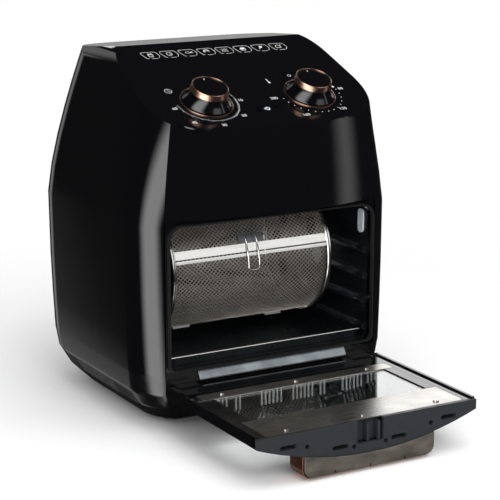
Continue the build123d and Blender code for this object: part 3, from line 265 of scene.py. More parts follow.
glowing_white_mark, tree, bsdf, coords = new_material("white_mark_with_painted_glow", "#e8ecf4", Roughness=0.4)
# The emission is a painted glow: no lamp lights these marks.
bsdf.inputs["Emission Color"].default_value = colour("#dfe6f5")
bsdf.inputs["Emission Strength"].default_value = 0.7
tint(tree, bsdf, spread(tree, grain(tree, coords, 1), 0, 1), "#dfe3ee", "#f2f4f8")

# Pale nylon for the hidden parts; on the door's comb ribs the same pale colour is a painted highlight.
pale_nylon_and_rib_highlight, tree, bsdf, coords = new_material("pale_nylon_and_painted_rib_highlight", "#9b9c9d", Roughness=0.5, IOR=1.53)
tint(tree, bsdf, spread(tree, grain(tree, coords, 5), 0, 1), "#8d8e90", "#a9aaab")
print(len(bpy.data.materials), "materials")

# %% [markdown]
# ## Carried-over pieces
# A piece from the drawing is a set of loose triangles, so a curved one would show its facets in a gloss finish.
# A merged copy shares its corners, light then runs smoothly over it, and edges sharper than an angle stay crisp.
# Flat and hidden pieces keep the drawing's own mesh and only get a finish.

# %% Finish of each carried-over node
finish_of = {
    "control_panel": gloss_abs, "switch_rocker": gloss_abs, "opening_frame": gloss_abs,
    "switch_housing": gloss_abs, "rear_panel": grained_abs, "terminal_block": pale_nylon_and_rib_highlight, "timer_body": grained_abs,
    "door_catch": grained_abs, "oven_seal": rubber, "door_inner_glass": clear_glass, "lamp_lens": lens_glass,
    "lamp_bulb": clear_glass, "threshold_strip": aluminium, "cavity_liner": coated_steel, "fan_guard": grey_metal,
    "convection_fan": grey_metal, "cooling_fan": pale_nylon_and_rib_highlight, "fan_motor": grey_metal, "motor_bracket": grey_metal,
    "fan_shaft": steel, "heater_coil": grey_metal, "thermal_fuse": grey_metal, "thermostat_bulb": steel,
    "thermostat_body": grey_metal, "timer_spindle": steel, "temperature_spindle": steel, "drum_motor": grey_metal,
    "heat_chamber": grey_metal, "lamp_holder": pale_nylon_and_rib_highlight, "hinge_pins": steel, "door_screws": steel,
    "housing_screws": steel,
}
for name, material in finish_of.items():
    nodes[name].data.materials.clear()
    nodes[name].data.materials.append(material)

# %% Merged copies of the curved nodes
slot_of = {s["node"]: s["material_slot"] for s in frame["record"]["subparts"]}


def finish_mesh(mesh, keep_sharp):
    """Smooth shading with edges sharper than so many degrees kept crisp."""
    mesh.shade_smooth()
    mesh.set_sharp_from_angle(angle=math.radians(keep_sharp))


def settle(obj, body, slot, *replaced):
    """Rides the piece on its body and hides the nodes that it stands for; the slot is not used."""
    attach(obj, body)
    if replaced:
        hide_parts(*replaced)
    return obj


def read(source, name, width, kind=float):
    """One value of every item of a mesh collection as an array with so many columns."""
    flat = np.zeros(len(source) * width, kind)
    source.foreach_get(name, flat)
    return flat.reshape(-1, width)


# The body's plan at the seam between its housings, and how it is drawn in over the roof, the skirt and the base.
seam_z, roof_rise, skirt_drop = 236, 184, 168
seam_half, seam_crease, seam_front, seam_back, seam_swell, seam_wrap, seam_corner = 167, 138, 140, 155, 25, 42, 60.0
roof_draw, roof_power, skirt_draw, roof_wrap = 36, 1.35, 3.5, 22
base_levels, base_draws = [8, 26, 46, 68], [30, 13, 3, 0]


def shell_shape(z):
    """Half width, crease, front, back, swell, wrap and corner of the body's plan at heights z."""
    up = np.clip((z - seam_z) / roof_rise, 0, 1)
    low = np.clip((seam_z - z) / skirt_drop, 0, 1)
    base = np.interp(z, base_levels, base_draws)
    draw = roof_draw * up ** roof_power
    narrower = draw + skirt_draw * low ** 2 + base
    return (seam_half - narrower, seam_crease - draw / 2 - 0.8 * base, seam_front - 0.8 * base, seam_back - narrower,
            seam_swell - 0.5 * base, seam_wrap + roof_wrap * up, seam_corner + 0 * z)


def shell_distance(kind, x, y, z):
    """Distance out of the body's wall: y is from the body's middle and kind picks the part of the plan.
    0 is the bowed front, a circle through both creases, and 1 the wrap, a circle tangent to the side. 2 is the side,
    3 the back corner and 4 the back."""
    half, crease, front, back, swell, wrap, corner = shell_shape(z)
    x = np.abs(x)
    bow_r = (crease ** 2 + swell ** 2) / (2 * swell)
    step = half - crease
    wrap_r = (step ** 2 + wrap ** 2) / (2 * step)
    return np.select([kind == 0, kind == 1, kind == 2, kind == 3], [
        np.hypot(x, y + front + swell - bow_r) - bow_r,
        np.hypot(x - half + wrap_r, y + front - wrap) - wrap_r,
        x - half,
        np.hypot(x - half + corner, y - back + corner) - corner], y - back)


def shell_normals(points, inside):
    """Gradient of the wall's distance by central differences; the points inside each face pick the kind."""
    half, crease, front, back, _, wrap, corner = shell_shape(inside[:, 2])
    x, y = np.abs(inside[:, 0]), inside[:, 1] - body_y
    in_corner = (x > half - corner) & (y > back - corner)
    kind = np.select([(x < crease) & (y < 0), y < wrap - front, in_corner, y < back - corner], [0, 1, 3, 2], 4)
    step = 0.05
    columns = []
    for axis in range(3):
        shift = np.zeros(3)
        shift[axis] = step
        ends = [shell_distance(kind, q[:, 0], q[:, 1] - body_y, q[:, 2]) for q in (points + shift, points - shift)]
        columns.append((ends[0] - ends[1]) / (2 * step))
    normals = np.stack(columns, -1)
    return normals / np.linalg.norm(normals, axis=1, keepdims=True)


def true_normals(mesh):
    """Corner normals of the body's pieces: the wall's own normal wherever the face lies along the wall."""
    corner_verts = read(mesh.loops, "vertex_index", 1, int)[:, 0]
    points = read(mesh.vertices, "co", 3)[corner_verts] / MM
    sizes = read(mesh.polygons, "loop_total", 1, int)[:, 0]
    centres = np.repeat(read(mesh.polygons, "center", 3) / MM, sizes, 0)
    facing = np.repeat(read(mesh.polygons, "normal", 3), sizes, 0)
    normals = read(mesh.corner_normals, "vector", 3)
    wall = shell_normals(points, points * 0.9 + centres * 0.1)
    along = np.sum(wall * facing, 1)
    close = np.abs(along) > math.cos(math.radians(9))
    normals[close] = wall[close] * np.sign(along[close])[:, None]
    mesh.normals_split_custom_set(normals.tolist())


def merged_copy(node, material, keep_sharp=32, walls=False, round_mm=0.0):
    """A copy of a node with its corners merged, its edges rounded if asked and its normals weighted by area.
    Flat faces then stay flat, and the body's walls take the normals of their own formula."""
    mesh = nodes[node].data.copy()
    work = bmesh.new()
    work.from_mesh(mesh)
    bmesh.ops.remove_doubles(work, verts=work.verts, dist=2e-6)
    bmesh.ops.dissolve_limit(work, angle_limit=math.radians(0.2), verts=work.verts, edges=work.edges)
    work.to_mesh(mesh)
    work.free()
    mesh.materials.clear()
    mesh.materials.append(material)
    finish_mesh(mesh, keep_sharp)
    obj = bpy.data.objects.new(node + "_finished", mesh)
    bpy.context.scene.collection.objects.link(obj)
    if round_mm:
        rounded = obj.modifiers.new("rounded", "BEVEL")
        rounded.width, rounded.segments, rounded.angle_limit = round_mm * MM, 3, math.radians(50)
    weighted = obj.modifiers.new("weighted", "WEIGHTED_NORMAL")
    weighted.keep_sharp, weighted.weight = True, 100
    bpy.context.view_layer.update()
    settled = bpy.data.meshes.new_from_object(obj.evaluated_get(bpy.context.evaluated_depsgraph_get()))
    obj.modifiers.clear()
    obj.data = settled
    if walls:
        true_normals(settled)
    return settle(obj, nodes[node]["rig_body"], slot_of[node], node)


walls = ("upper_housing", "lower_housing", "front_fascia", "top_cap", "base_tray")
copies = {
    "upper_housing": gloss_abs, "lower_housing": gloss_abs, "front_fascia": gloss_abs, "top_cap": gloss_abs,
    "base_tray": base_abs, "feet": rubber, "hinge_lugs": base_abs, "door_shell": gloss_abs,
    "door_end_cap": grained_abs, "door_outer_glass": outer_glass, "handle_core": gloss_abs,
    "handle_band": copper_satin, "handle_cover": mottled_abs, "drum_left_end": bright_steel,
    "drum_right_end": bright_steel, "drum_bearing": steel, "drive_socket": steel, "drip_tray": coated_steel,
    "cord_gland": rubber,
}
round_mm = {"door_shell": 1.4, "door_end_cap": 1.4, "handle_cover": 0.7, "handle_core": 0.7, "handle_band": 0.5,
            "hinge_lugs": 1.2, "feet": 1.0}
for name, material in copies.items():
    merged_copy(name, material, walls=name in walls, round_mm=round_mm.get(name, 0.0))
print(len(copies), "merged copies")

# %% [markdown]
# ## Surfaces from numbers
# New pieces are grids: rows of points that are joined to the next row by four-sided faces. Points that fall
# together, as at a pole or where a ring closes, are merged, and the faces are then turned to point outwards.

# %% Grid and mesh helpers
def grid_faces(rows, columns, wrap_rows=False, wrap_columns=False):
    """Quads of a grid of points stored row by row; wrapping joins the last row or column to the first."""
    i = np.arange(rows if wrap_rows else rows - 1)[:, None]
    j = np.arange(columns if wrap_columns else columns - 1)[None, :]
    down, across = (i + 1) % rows, (j + 1) % columns
    corners = (i * columns + j, i * columns + across, down * columns + across, down * columns + j)
    return np.stack([np.broadcast_to(c, np.broadcast_shapes(i.shape, j.shape)) for c in corners], -1).reshape(-1, 4)


def new_piece(name, points, faces, material, keep_sharp=32, turn=True):
    """A mesh object from points in millimetres: doubles merged, faces turned outwards, shaded smooth."""
    mesh = bpy.data.meshes.new(name)
    mesh.from_pydata((np.asarray(points, float).reshape(-1, 3) * MM).tolist(), [], np.asarray(faces).tolist())
    work = bmesh.new()
    work.from_mesh(mesh)
    bmesh.ops.remove_doubles(work, verts=work.verts, dist=1e-6)
    if turn:
        bmesh.ops.recalc_face_normals(work, faces=work.faces)
    work.to_mesh(mesh)
    work.free()
    mesh.materials.append(material)
    finish_mesh(mesh, keep_sharp)
    obj = bpy.data.objects.new(name, mesh)
    bpy.context.scene.collection.objects.link(obj)
    return obj


def joined(parts):
    """Several (points, faces) pairs as one, with the face numbers moved on past the points before them."""
    points, faces, start = [], [], 0
    for part_points, part_faces in parts:
        part_points = np.asarray(part_points, float).reshape(-1, 3)
        points.append(part_points)
        faces.append(np.asarray(part_faces) + start)
        start += len(part_points)
    return np.concatenate(points), np.concatenate(faces)


def box_grid(section_points):
    """Closed bar from two or more closed sections: the sides as a grid and a fan of quads over each end."""
    rows, columns = section_points.shape[:2]
    sides = grid_faces(rows, columns, wrap_columns=True)
    j = np.arange(columns // 2 - 1)
    last = (rows - 1) * columns
    ends = np.stack([j, j + 1, columns - 2 - j, columns - 1 - j], -1)
    return section_points.reshape(-1, 3), np.concatenate([sides, ends, ends + last])


# %% [markdown]
# ## The knobs
# Each knob is a turned shape: a flared black skirt, a satin rose gold band and a flat black top. A profile of
# radius and height is carried round the dial's axis, so the whole surface is one function of angle and profile
# position. Short extra steps at the corners give the small radii that catch a line of light.

# %% Turned pieces of both dials
ring_angles = np.linspace(0, 2 * math.pi, 96, endpoint=False)


def turned(centre_right, profile):
    """Ring points: centre plus radius times (cos, sin) in the panel's plane plus height along its normal."""
    radius, height = np.asarray(profile, float).T
    right = centre_right + radius[:, None] * np.cos(ring_angles)
    up = radius[:, None] * np.sin(ring_angles)
    points = on_panel(right, up, np.repeat(height[:, None], len(ring_angles), 1))
    return points, grid_faces(len(profile), len(ring_angles), wrap_rows=True, wrap_columns=True)


flare = np.linspace(0, 1, 14)
skirt = [(21.2 + 6.3 * (1 - t) ** 1.9, 2.6 + 11.4 * t) for t in flare]
knob_profile = [(0, 2.2), (25.4, 2.2), (26.4, 1.1), (27.4, 1.0), (27.8, 1.3), (27.9, 1.9), *skirt,
                (21.0, 14.5), (19.3, 14.5), (19.3, 20.1), (19.1, 20.4), (17.5, 20.45), (0, 20.3)]
band_profile = [(19.4, 14.6), (21.9, 14.6), (22.15, 14.8), (22.2, 15.4), (21.9, 16.2), (21.0, 20.6),
                (20.7, 21.2), (20.3, 21.45), (19.7, 21.45), (19.45, 21.2), (19.4, 20.3)]
ring_profile = [(28.95, 0.02), (30.45, 0.02), (30.5, 0.5), (30.3, 1.15), (29.9, 1.38), (29.4, 1.38), (29.0, 1.0)]
for dial, side in (("timer", -1), ("temperature", 1)):
    centre = side * dial_half_pitch
    body = dial + "_dial"
    knob = new_piece(dial + "_knob_turned", *turned(centre, knob_profile), gloss_abs)
    settle(knob, body, "gloss_black", dial + "_knob")
    band = new_piece(dial + "_band_turned", *turned(centre, band_profile), rose_gold)
    settle(band, body, "copper_trim", dial + "_knob_band")
rings = joined([turned(side * dial_half_pitch, ring_profile) for side in (-1, 1)])
settle(new_piece("dial_rings_turned", *rings, rose_gold), "oven", "copper_trim", "dial_trim_rings")

# %% [markdown]
# ## Prints on the panel
# The scales, numbers and symbols are screen printed in white. Each line is a thin ribbon that follows a path on
# the panel, and numbers are Blender text turned to mesh and then laid on the slope. Ribbons lie a twentieth of a
# millimetre over the panel, so they never flicker against it.

# %% Ribbon and number helpers
ink_height = 0.05


def ribbon(path, width=0.5, closed=False):
    """Strip along a path on the panel: each point moves half a width to both sides of the path's direction."""
    path = np.asarray(path, float)
    if closed:
        ahead = np.roll(path, -1, 0) - np.roll(path, 1, 0)
    else:
        ahead = np.gradient(path, axis=0)
    ahead /= np.linalg.norm(ahead, axis=1, keepdims=True)
    side = np.stack([-ahead[:, 1], ahead[:, 0]], -1) * width / 2
    flat = np.stack([path - side, path + side], 1)
    points = on_panel(flat[..., 0], flat[..., 1], ink_height)
    return points.reshape(-1, 3), grid_faces(len(path), 2, wrap_rows=closed)


def arc(centre, radius, start, end, count=40):
    """Points on a circle by clock angle: degrees clockwise from twelve o'clock."""
    turn = np.radians(np.linspace(start, end, count))
    return np.stack([centre[0] + radius * np.sin(turn), centre[1] + radius * np.cos(turn)], -1)


def blot(centre, radius, stretch=1.0):
    """Filled round mark: an outer ring of points drawn in to a tiny inner one."""
    outer = arc(centre, radius, 0, 350, 36)
    outer[:, 0] = centre[0] + (outer[:, 0] - centre[0]) * stretch
    inner = np.asarray(centre) + (outer - centre) * 0.02
    flat = np.stack([outer, inner], 0)
    return on_panel(flat[..., 0], flat[..., 1], ink_height).reshape(-1, 3), grid_faces(2, 36, wrap_columns=True)


def corner_path(corners, steps=8):
    """Straight runs between corners, divided so that a ribbon keeps its width near each corner."""
    corners = np.asarray(corners, float)
    t = np.linspace(0, 1, steps, endpoint=False)[:, None]
    runs = [a + (b - a) * t for a, b in zip(corners[:-1], corners[1:])]
    return np.concatenate([*runs, corners[-1:]])


# %% Scales of both dials
def radial(centre, angle, inner, outer, width=0.45):
    """Short tick that points at the dial's centre."""
    ends = [arc(centre, r, angle, angle, 1)[0] for r in (inner, (inner + outer) / 2, outer)]
    return ribbon(ends, width)


timer_at, heat_at = (-dial_half_pitch, 0.0), (dial_half_pitch, 0.0)
prints = [radial(timer_at, a, 35.6, 37.2 + 1.3 * (i % 5 == 0), 0.42) for i, a in enumerate(np.arange(87, 268, 3.6))]
prints.append(ribbon(arc(timer_at, 37.4, 62, 152), 0.32))
prints.append(blot((-67.0, 35.2), 0.8))
prints += [blot(arc(heat_at, 37.6, a, a, 1)[0], 0.62) for a in np.linspace(84, 262, 15)]
prints.append(blot((67.5, 37.5), 0.7))
prints.append(ribbon(arc((60.8, 39.6), 1.9, 0, 350, 30), 0.5, closed=True))
prints.append(ribbon(corner_path([(102.0, 13.4), (104.4, 8.6)]), 2.3))

# %% Symbols beside the dials
clock_at = (-101.5, 28.0)
prints.append(ribbon(arc(clock_at, 4.0, 0, 350, 40), 0.55, closed=True))
prints.append(ribbon(corner_path([(-101.5, 30.6), (-101.5, 28.0), (-99.6, 27.2)]), 0.5))
prints.append(ribbon(corner_path([(27.9, 36.4), (28.7, 29.6)]), 1.1))
prints.append(blot((28.8, 29.0), 1.5))

# %% [markdown]
# The strip along the back shows eight foods. They are drawn as plain symbols of a few strokes each, in slanted
# cells with rounded corners and a short rule under each one.

# %% Food symbols
cell_pitch, cell_left, cell_low = 24.1, -100.0, 95.5


def cell_outline(left):
    """Slanted cell: a rounded box whose lower left corner is cut away, open at its lower right."""
    shape = [(6.5, 0), (3.8, 1.0), (0.6, 9.2), (0.4, 12.4), (2.2, 13.5), (16.8, 13.5), (19.4, 12.6), (21.6, 6.0),
             (21.0, 3.4), (19.2, 0.4)]
    return corner_path([(left + x, cell_low + y) for x, y in shape], 5)


def symbol(kind, x, y):
    """Strokes of one food symbol about a point."""
    if kind == "cup":
        return [ribbon(corner_path([(x - 3, y + 1), (x - 2.2, y - 3.6), (x + 2.2, y - 3.6), (x + 3, y + 1),
                                    (x - 3, y + 1)]), 0.7),
                *[ribbon(corner_path([(x + d, y + 1), (x + d * 1.2, y + 3.4)]), 0.8) for d in (-2, -0.7, 0.7, 2)]]
    if kind == "steak":
        return [ribbon(arc((x, y), 3.4, 0, 350, 30), 0.55, closed=True), ribbon(arc((x, y), 1.5, 20, 200, 20), 0.5)]
    if kind == "fish":
        return [ribbon(arc((x, y - 2.5), 4.4, -52, 52, 20), 0.5), ribbon(arc((x, y + 2.9), 4.4, 128, 232, 20), 0.5),
                ribbon(corner_path([(x + 3.4, y + 0.2), (x + 5.4, y + 1.9), (x + 5.4, y - 1.6),
                                    (x + 3.4, y + 0.2)]), 0.5)]
    if kind == "prawn":
        return [ribbon(arc((x, y), 3.2, -130, 110, 26), 1.0), ribbon(arc((x, y), 1.6, -130, 90, 20), 0.5)]
    if kind == "strips":
        t = np.linspace(-4, 4, 24)
        return [ribbon(np.stack([x + t, y + d + 0.5 * np.sin(t * 1.6)], -1), 0.55) for d in (-2.6, -0.2, 2.2)]
    if kind == "cake":
        return [ribbon(arc((x, y - 0.6), 3.4, -90, 90, 24), 0.6), blot((x, y + 0.3), 2.0, 1.25),
                ribbon(corner_path([(x - 3.6, y - 0.8), (x - 2.6, y - 3.4), (x + 2.6, y - 3.4),
                                    (x + 3.6, y - 0.8)]), 0.6)]
    if kind == "leg":
        return [blot((x + 0.8, y + 1.4), 2.1), ribbon(corner_path([(x + 0.2, y + 0.4), (x - 2.6, y - 3.2)]), 0.8)]
    return [ribbon(arc((x - 0.4, y - 0.6), 3.2, -100, 110, 26), 0.7),
            ribbon(corner_path([(x - 3.6, y - 1.4), (x - 2.6, y - 3.2), (x + 2.4, y - 3.2), (x + 3.2, y - 1.6)]), 0.7),
            ribbon(corner_path([(x + 2.4, y + 1.4), (x + 4.6, y + 3.0)]), 0.7)]


for i, kind in enumerate(("cup", "steak", "fish", "prawn", "strips", "cake", "leg", "roast")):
    left = cell_left + cell_pitch * i
    prints.append(ribbon(cell_outline(left), 0.5))
    prints.append(ribbon(corner_path([(left + 9.5, cell_low - 0.3), (left + 17.5, cell_low - 0.3)]), 0.45))
    prints += symbol(kind, left + 11.0, cell_low + 7.2)
ink = new_piece("panel_prints", *joined(prints), white_ink, turn=False)
settle(ink, "oven", "cooler_plastic")

# %% Numbers of the scales
numbers = [("10", -24.6, -1.2), ("20", -35.0, -31.0), ("30", -67.0, -45.6), ("45", -99.2, -36.0),
           ("60", -109.6, -6.8), ("80", 111.4, 5.0), ("120", 92.0, -34.8), ("160", 40.6, -40.4), ("200", 18.2, -3.2)]


def number_mesh(text, right, up, size=6.4):
    """Text turned to triangles, centred on its own width and laid on the panel's slope."""
    curve = bpy.data.curves.new("number", "FONT")
    curve.body, curve.size = text, size
    curve.align_x, curve.align_y = "CENTER", "CENTER"
    holder = bpy.data.objects.new("number", curve)
    bpy.context.scene.collection.objects.link(holder)
    bpy.context.view_layer.update()
    mesh = bpy.data.meshes.new_from_object(holder.evaluated_get(bpy.context.evaluated_depsgraph_get()))
    flat = np.zeros(len(mesh.vertices) * 3)
    mesh.vertices.foreach_get("co", flat)
    mesh.calc_loop_triangles()
    corners = np.zeros(len(mesh.loop_triangles) * 3, int)
    mesh.loop_triangles.foreach_get("vertices", corners)
    bpy.data.objects.remove(holder)
    bpy.data.meshes.remove(mesh)
    flat = flat.reshape(-1, 3)
    return on_panel(right + flat[:, 0], up + flat[:, 1], ink_height), corners.reshape(-1, 3)


digits = new_piece("scale_numbers", *joined([number_mesh(*n) for n in numbers]), white_ink, turn=False)
settle(digits, "oven", "cooler_plastic")
print("prints", len(ink.data.polygons) + len(digits.data.polygons), "faces")

# %% [markdown]
# The knobs carry a small pointer dot, and the rocker switch shows three white marks that are given a painted glow.

# %% Marks on the moving controls
def lifted(part, height):
    """The same mark, raised to lie on a face that stands over the panel."""
    points, faces = part
    return points + dial_out * height, faces


pointer_up, pointer_r, knob_top, rocker_top = 15.8, 0.75, 20.42, 0.12
for dial, side in (("timer", -1), ("temperature", 1)):
    mark = lifted(blot((side * dial_half_pitch, pointer_up), pointer_r), knob_top)
    dot = new_piece(dial + "_pointer", *mark, white_ink, turn=False)
    settle(dot, dial + "_dial", "cooler_plastic")
marks = joined([ribbon(arc((-6.6, -22.0), 2.5, 0, 350, 24), 0.5, closed=True),
                ribbon(corner_path([(-8.2, -20.4), (-5.0, -23.6)]), 0.45),
                ribbon(corner_path([(-8.2, -23.6), (-5.0, -20.4)]), 0.45),
                ribbon(arc((0.0, -22.0), 2.3, 0, 350, 24), 0.75, closed=True),
                ribbon(arc((6.4, -22.0), 2.3, 10, 170, 16), 0.6), blot((6.4, -22.4), 0.9)])
marks = (marks[0] + dial_out[None] * rocker_top, marks[1])
# The switch marks glow by a painted emission, not by a lamp.
settle(new_piece("switch_marks", *marks, glowing_white_mark, turn=False), "mode_switch", "cooler_plastic")

# %% [markdown]
# ## The drum
# The drum's wall is expanded steel: a sheet that is slit and pulled open into rows of diamonds. Each diamond is
# drawn as a frame of four strips with a hole in its middle, on both faces of the sheet, and the rows are wrapped
# round the drum's axis. Plain bright straps close the seams, and rims hold the ends.

# %% Net
net_pitch, net_row, net_thick, net_open = 5.6, 5.2, 0.5, 0.82


def net(start, end, half_length, radius):
    """Diamonds (half pitch, half row) set in staggered rows; a smaller diamond inside each one is the hole."""
    rows = int(round(math.radians(end - start) * radius / (net_row / 2))) - 1
    columns = int(2 * half_length / net_pitch)
    pitch = 2 * half_length / (columns + 0.5)
    step = (end - start) / (rows + 1)
    j, i = np.meshgrid(np.arange(rows), np.arange(columns), indexing="ij")
    along = -half_length + pitch * (i + 0.5 + 0.5 * (j % 2))
    angle = start + step * (j + 1)
    corner_along = np.array([-0.5, 0, 0.5, 0]) * pitch
    corner_angle = np.array([0, -1, 0, 1]) * step
    points = []
    for size, lift in ((1, 0.5), (net_open, 0.5), (net_open, -0.5), (1, -0.5)):
        points.append(on_drum(along[..., None] + corner_along * size, angle[..., None] + corner_angle * size,
                              radius + lift * net_thick))
    points = np.stack(points, 2).reshape(-1, 4, 4, 3)
    ring = grid_faces(4, 4, wrap_columns=True)
    faces = ring[None] + 16 * np.arange(len(points))[:, None, None]
    return points.reshape(-1, 3), faces.reshape(-1, 4)


def curved_strap(start, end, inner, outer, half_length):
    """Bar along the drum that follows its round, given by its angles and radii."""
    count = 12
    angles = np.concatenate([np.linspace(start, end, count), np.linspace(end, start, count)])
    radii = np.concatenate([np.full(count, outer), np.full(count, inner)])
    steps = np.array([-half_length, half_length])
    return box_grid(on_drum(steps[:, None], angles[None], radii[None]))


net_r, strap_in, strap_out = 73.5, 73.0, 75.2
basket_half, basket_bar_half, lid_half = 101.6, 102.4, 98.8
basket_net = new_piece("basket_net", *net(seam_angle + 0.8, 360 + lid_low - 0.6, basket_half, net_r), net_steel,
                       turn=False)
settle(basket_net, "drum", "steel", "drum_basket")
lid_net = new_piece("lid_net", *net(lid_low + 0.8, seam_angle - 0.8, lid_half, net_r), net_steel, turn=False)
settle(lid_net, "drum_lid", "steel", "drum_lid")

# %% Straps and rims
tab_places, tab_half, tab_in, tab_out = (-62, 62), 11, 74.8, 77.4
basket_bars = joined([curved_strap(seam_angle + 0.6, seam_angle + 8, strap_in, strap_out, basket_bar_half),
                      curved_strap(360 + lid_low - 4, 360 + lid_low - 0.6, strap_in, strap_out, basket_bar_half)])
settle(new_piece("basket_straps", *basket_bars, bright_steel), "drum", "steel", "drum_basket")
lid_bars = joined([curved_strap(seam_angle - 3.4, seam_angle - 0.6, strap_in, strap_out, lid_half),
                   curved_strap(lid_low + 0.6, lid_low + 3.4, strap_in, strap_out, lid_half),
                   *[(p + np.array([x, 0, 0]), f) for x in tab_places
                     for p, f in [curved_strap(lid_low + 1.0, lid_low + 4.6, tab_in, tab_out, tab_half)]]])
settle(new_piece("lid_straps", *lid_bars, bright_steel), "drum_lid", "steel", "drum_lid")


def hoop(along, radius, wire, count=180):
    """Round wire bent to a ring about the drum's axis: a small circle carried round a large one."""
    turn = np.linspace(0, 360, count, endpoint=False)[:, None]
    small = np.linspace(0, 2 * math.pi, 10, endpoint=False)[None]
    points = on_drum(along + wire * np.cos(small) + 0 * turn, turn + 0 * small, radius + wire * np.sin(small))
    return points, grid_faces(count, 10, wrap_rows=True, wrap_columns=True)


hoop_at, hoop_r, hoop_wire = 100.9, 75.6, 1.3
hoops = joined([hoop(side * hoop_at, hoop_r, hoop_wire) for side in (-1, 1)])
settle(new_piece("drum_hoops", *hoops, bright_steel), "drum", "steel", "drum_left_end", "drum_right_end")
print("net", len(basket_net.data.polygons) + len(lid_net.data.polygons), "faces")

# %% [markdown]
# A spring clip of bent wire holds the lid shut. Its plate hooks over the seam and its loop lies on the lid.

# %% Clip
def rod(path, radius, sides=10):
    """Round wire along a path: a circle set square to the path at each of its points."""
    path = np.asarray(path, float)
    ahead = np.gradient(path, axis=0)
    ahead /= np.linalg.norm(ahead, axis=1, keepdims=True)
    across = np.cross(ahead, [0.3, 0.5, 0.8])
    across /= np.linalg.norm(across, axis=1, keepdims=True)
    other = np.cross(ahead, across)
    turn = np.linspace(0, 2 * math.pi, sides, endpoint=False)
    rings_ = path[:, None] + radius * (np.cos(turn)[None, :, None] * across[:, None]
                                       + np.sin(turn)[None, :, None] * other[:, None])
    return box_grid(rings_)


wire_x, wire_over, wire_r, leg_points = 7.0, 77.0, 0.8, 18
hook, loop_end = seam_angle + 15.0, seam_angle - 13.6
down = np.linspace(hook, loop_end, leg_points)
turn_over = np.linspace(0, math.pi, 11)[1:-1]
loop_x = np.concatenate([np.full(leg_points, -wire_x), -wire_x * np.cos(turn_over), np.full(leg_points, wire_x)])
loop_angle = np.concatenate([down, loop_end - 2.2 * np.sin(turn_over), down[::-1]])
clip_wire = rod(on_drum(loop_x, loop_angle, wire_over), wire_r)
clip_plate = curved_strap(seam_angle + 8.5, seam_angle + 16.5, 75.5, 76.5, 16.0)
settle(new_piece("clip_wire", *clip_wire, bright_steel), "drum_lid", "steel", "drum_clip")
settle(new_piece("clip_plate", *clip_plate, grey_metal), "drum_lid", "steel", "drum_clip")

# %% [markdown]
# ## Inside the oven
# The cavity's side walls carry pressed rails. Each one starts in a rounded nose at the front, and the nose is what
# catches the light. The drip tray ends in a rolled lip.

# %% Rails and tray lip
wall_x, rail_deep, rail_half = 132.0, 4.6, 5.6
rail_front, rail_nose, rail_back = 129.0, 22, 112.0
rail_levels = (86.0, 118.0, 148.0, 180.0)
lip_reach, lip_z, lip_r = 128.6, 84.0, 1.3


def rail(side, level):
    """Rail: a half round of height and depth that grows from nothing over its first part, by the root of a circle."""
    t = np.concatenate([np.linspace(0.02, 1, 16), [1.0]])
    grow = np.sqrt(1 - (1 - t) ** 2)
    along = body_y - rail_front + rail_nose * t
    along[-1] = body_y + rail_back
    turn = np.linspace(0, math.pi, 14)
    x = side * (wall_x - rail_deep * grow[:, None] * np.sin(turn))
    z = level + rail_half * grow[:, None] * np.cos(turn)
    return box_grid(np.stack(np.broadcast_arrays(x, along[:, None], z), -1))


rails = joined([rail(side, level) for side in (-1, 1) for level in rail_levels])
settle(new_piece("side_rails", *rails, rail_steel), "oven", "liner")
turn = np.linspace(0, 2 * math.pi, 14, endpoint=False)
lip_x = np.array([-125.0, -62, 0, 62, 125.0])
lip_y = body_y - lip_reach + lip_r * np.cos(turn)
lip = np.stack(np.broadcast_arrays(lip_x[:, None], lip_y, lip_z + lip_r * np.sin(turn)), -1)
settle(new_piece("tray_lip", *box_grid(lip), bright_steel), "drip_tray", "liner")

# %% [markdown]
# ## The door's inner face
# A steel strip with screws runs along the free edge and another along the hinge side. Between them the sides are
# black. Behind the glass, a comb of short standing ribs lines the wall on the hinge side; their pale colour is a
# painted highlight.

# %% Door plate
hinge_line, free_edge = body_y - 152, body_y - 345
plate_rear, plate_front = hinge_line - 32.0, free_edge + 5.5
glass_rear, glass_front = hinge_line - 51.0, free_edge + 58.0
plate_low, plate_half, strip_at, strip_half = 54.8, 124, 118, 6


def slab(x0, x1, y0, y1, low, high, bend=0.4):
    """Flat bar with its upper edges eased: a closed section carried along X."""
    ys = np.array([y0, y0, y0 + bend, y1 - bend, y1, y1])
    zs = np.array([low, high - bend, high, high, high - bend, low])
    steps = np.array([x0, (x0 + x1) / 2, x1])
    section = np.stack(np.broadcast_arrays(steps[:, None], ys[None], zs[None]), -1)
    return box_grid(section)


plate_bars = joined([slab(-plate_half, plate_half, plate_front, glass_front, plate_low, door_top),
                     slab(-plate_half, plate_half, glass_rear, plate_rear, plate_low, door_top)])
settle(new_piece("door_plate_strips", *plate_bars, steel), "door", "steel", "door_inner_plate")
side_bars = joined([slab(side * strip_at - strip_half, side * strip_at + strip_half,
                         glass_front + 0.2, glass_rear - 0.2, plate_low, door_top) for side in (-1, 1)])
settle(new_piece("door_side_strips", *side_bars, gloss_abs), "door", "gloss_black", "door_inner_plate")

# %% Comb ribs
groups = ((-100, 3), (-78, 2), (-45, 6), (-4, 6), (32, 2), (62, 6), (96, 3))
rib_pitch, rib_half, rib_front, rib_rear, rib_low, rib_top = 5, 0.9, body_y - 194.2, body_y - 192.2, 33.0, 51.2
ribs = joined([slab(x + rib_pitch * i - rib_half, x + rib_pitch * i + rib_half, rib_front, rib_rear, rib_low, rib_top)
               for x, count in groups for i in range(count)])
# The ribs' pale colour is a painted highlight that stands in for the light catching them.
settle(new_piece("comb_ribs", *ribs, pale_nylon_and_rib_highlight), "door", "cooler_plastic")

# %% [markdown]
# ## Floor and surroundings
# The studio is a pale floor under a soft sky. The housing is nearly a mirror, so what it reflects makes its shape:
# tall soft panels of light stand round the object in the dark, and the floor doesn't show in reflections.

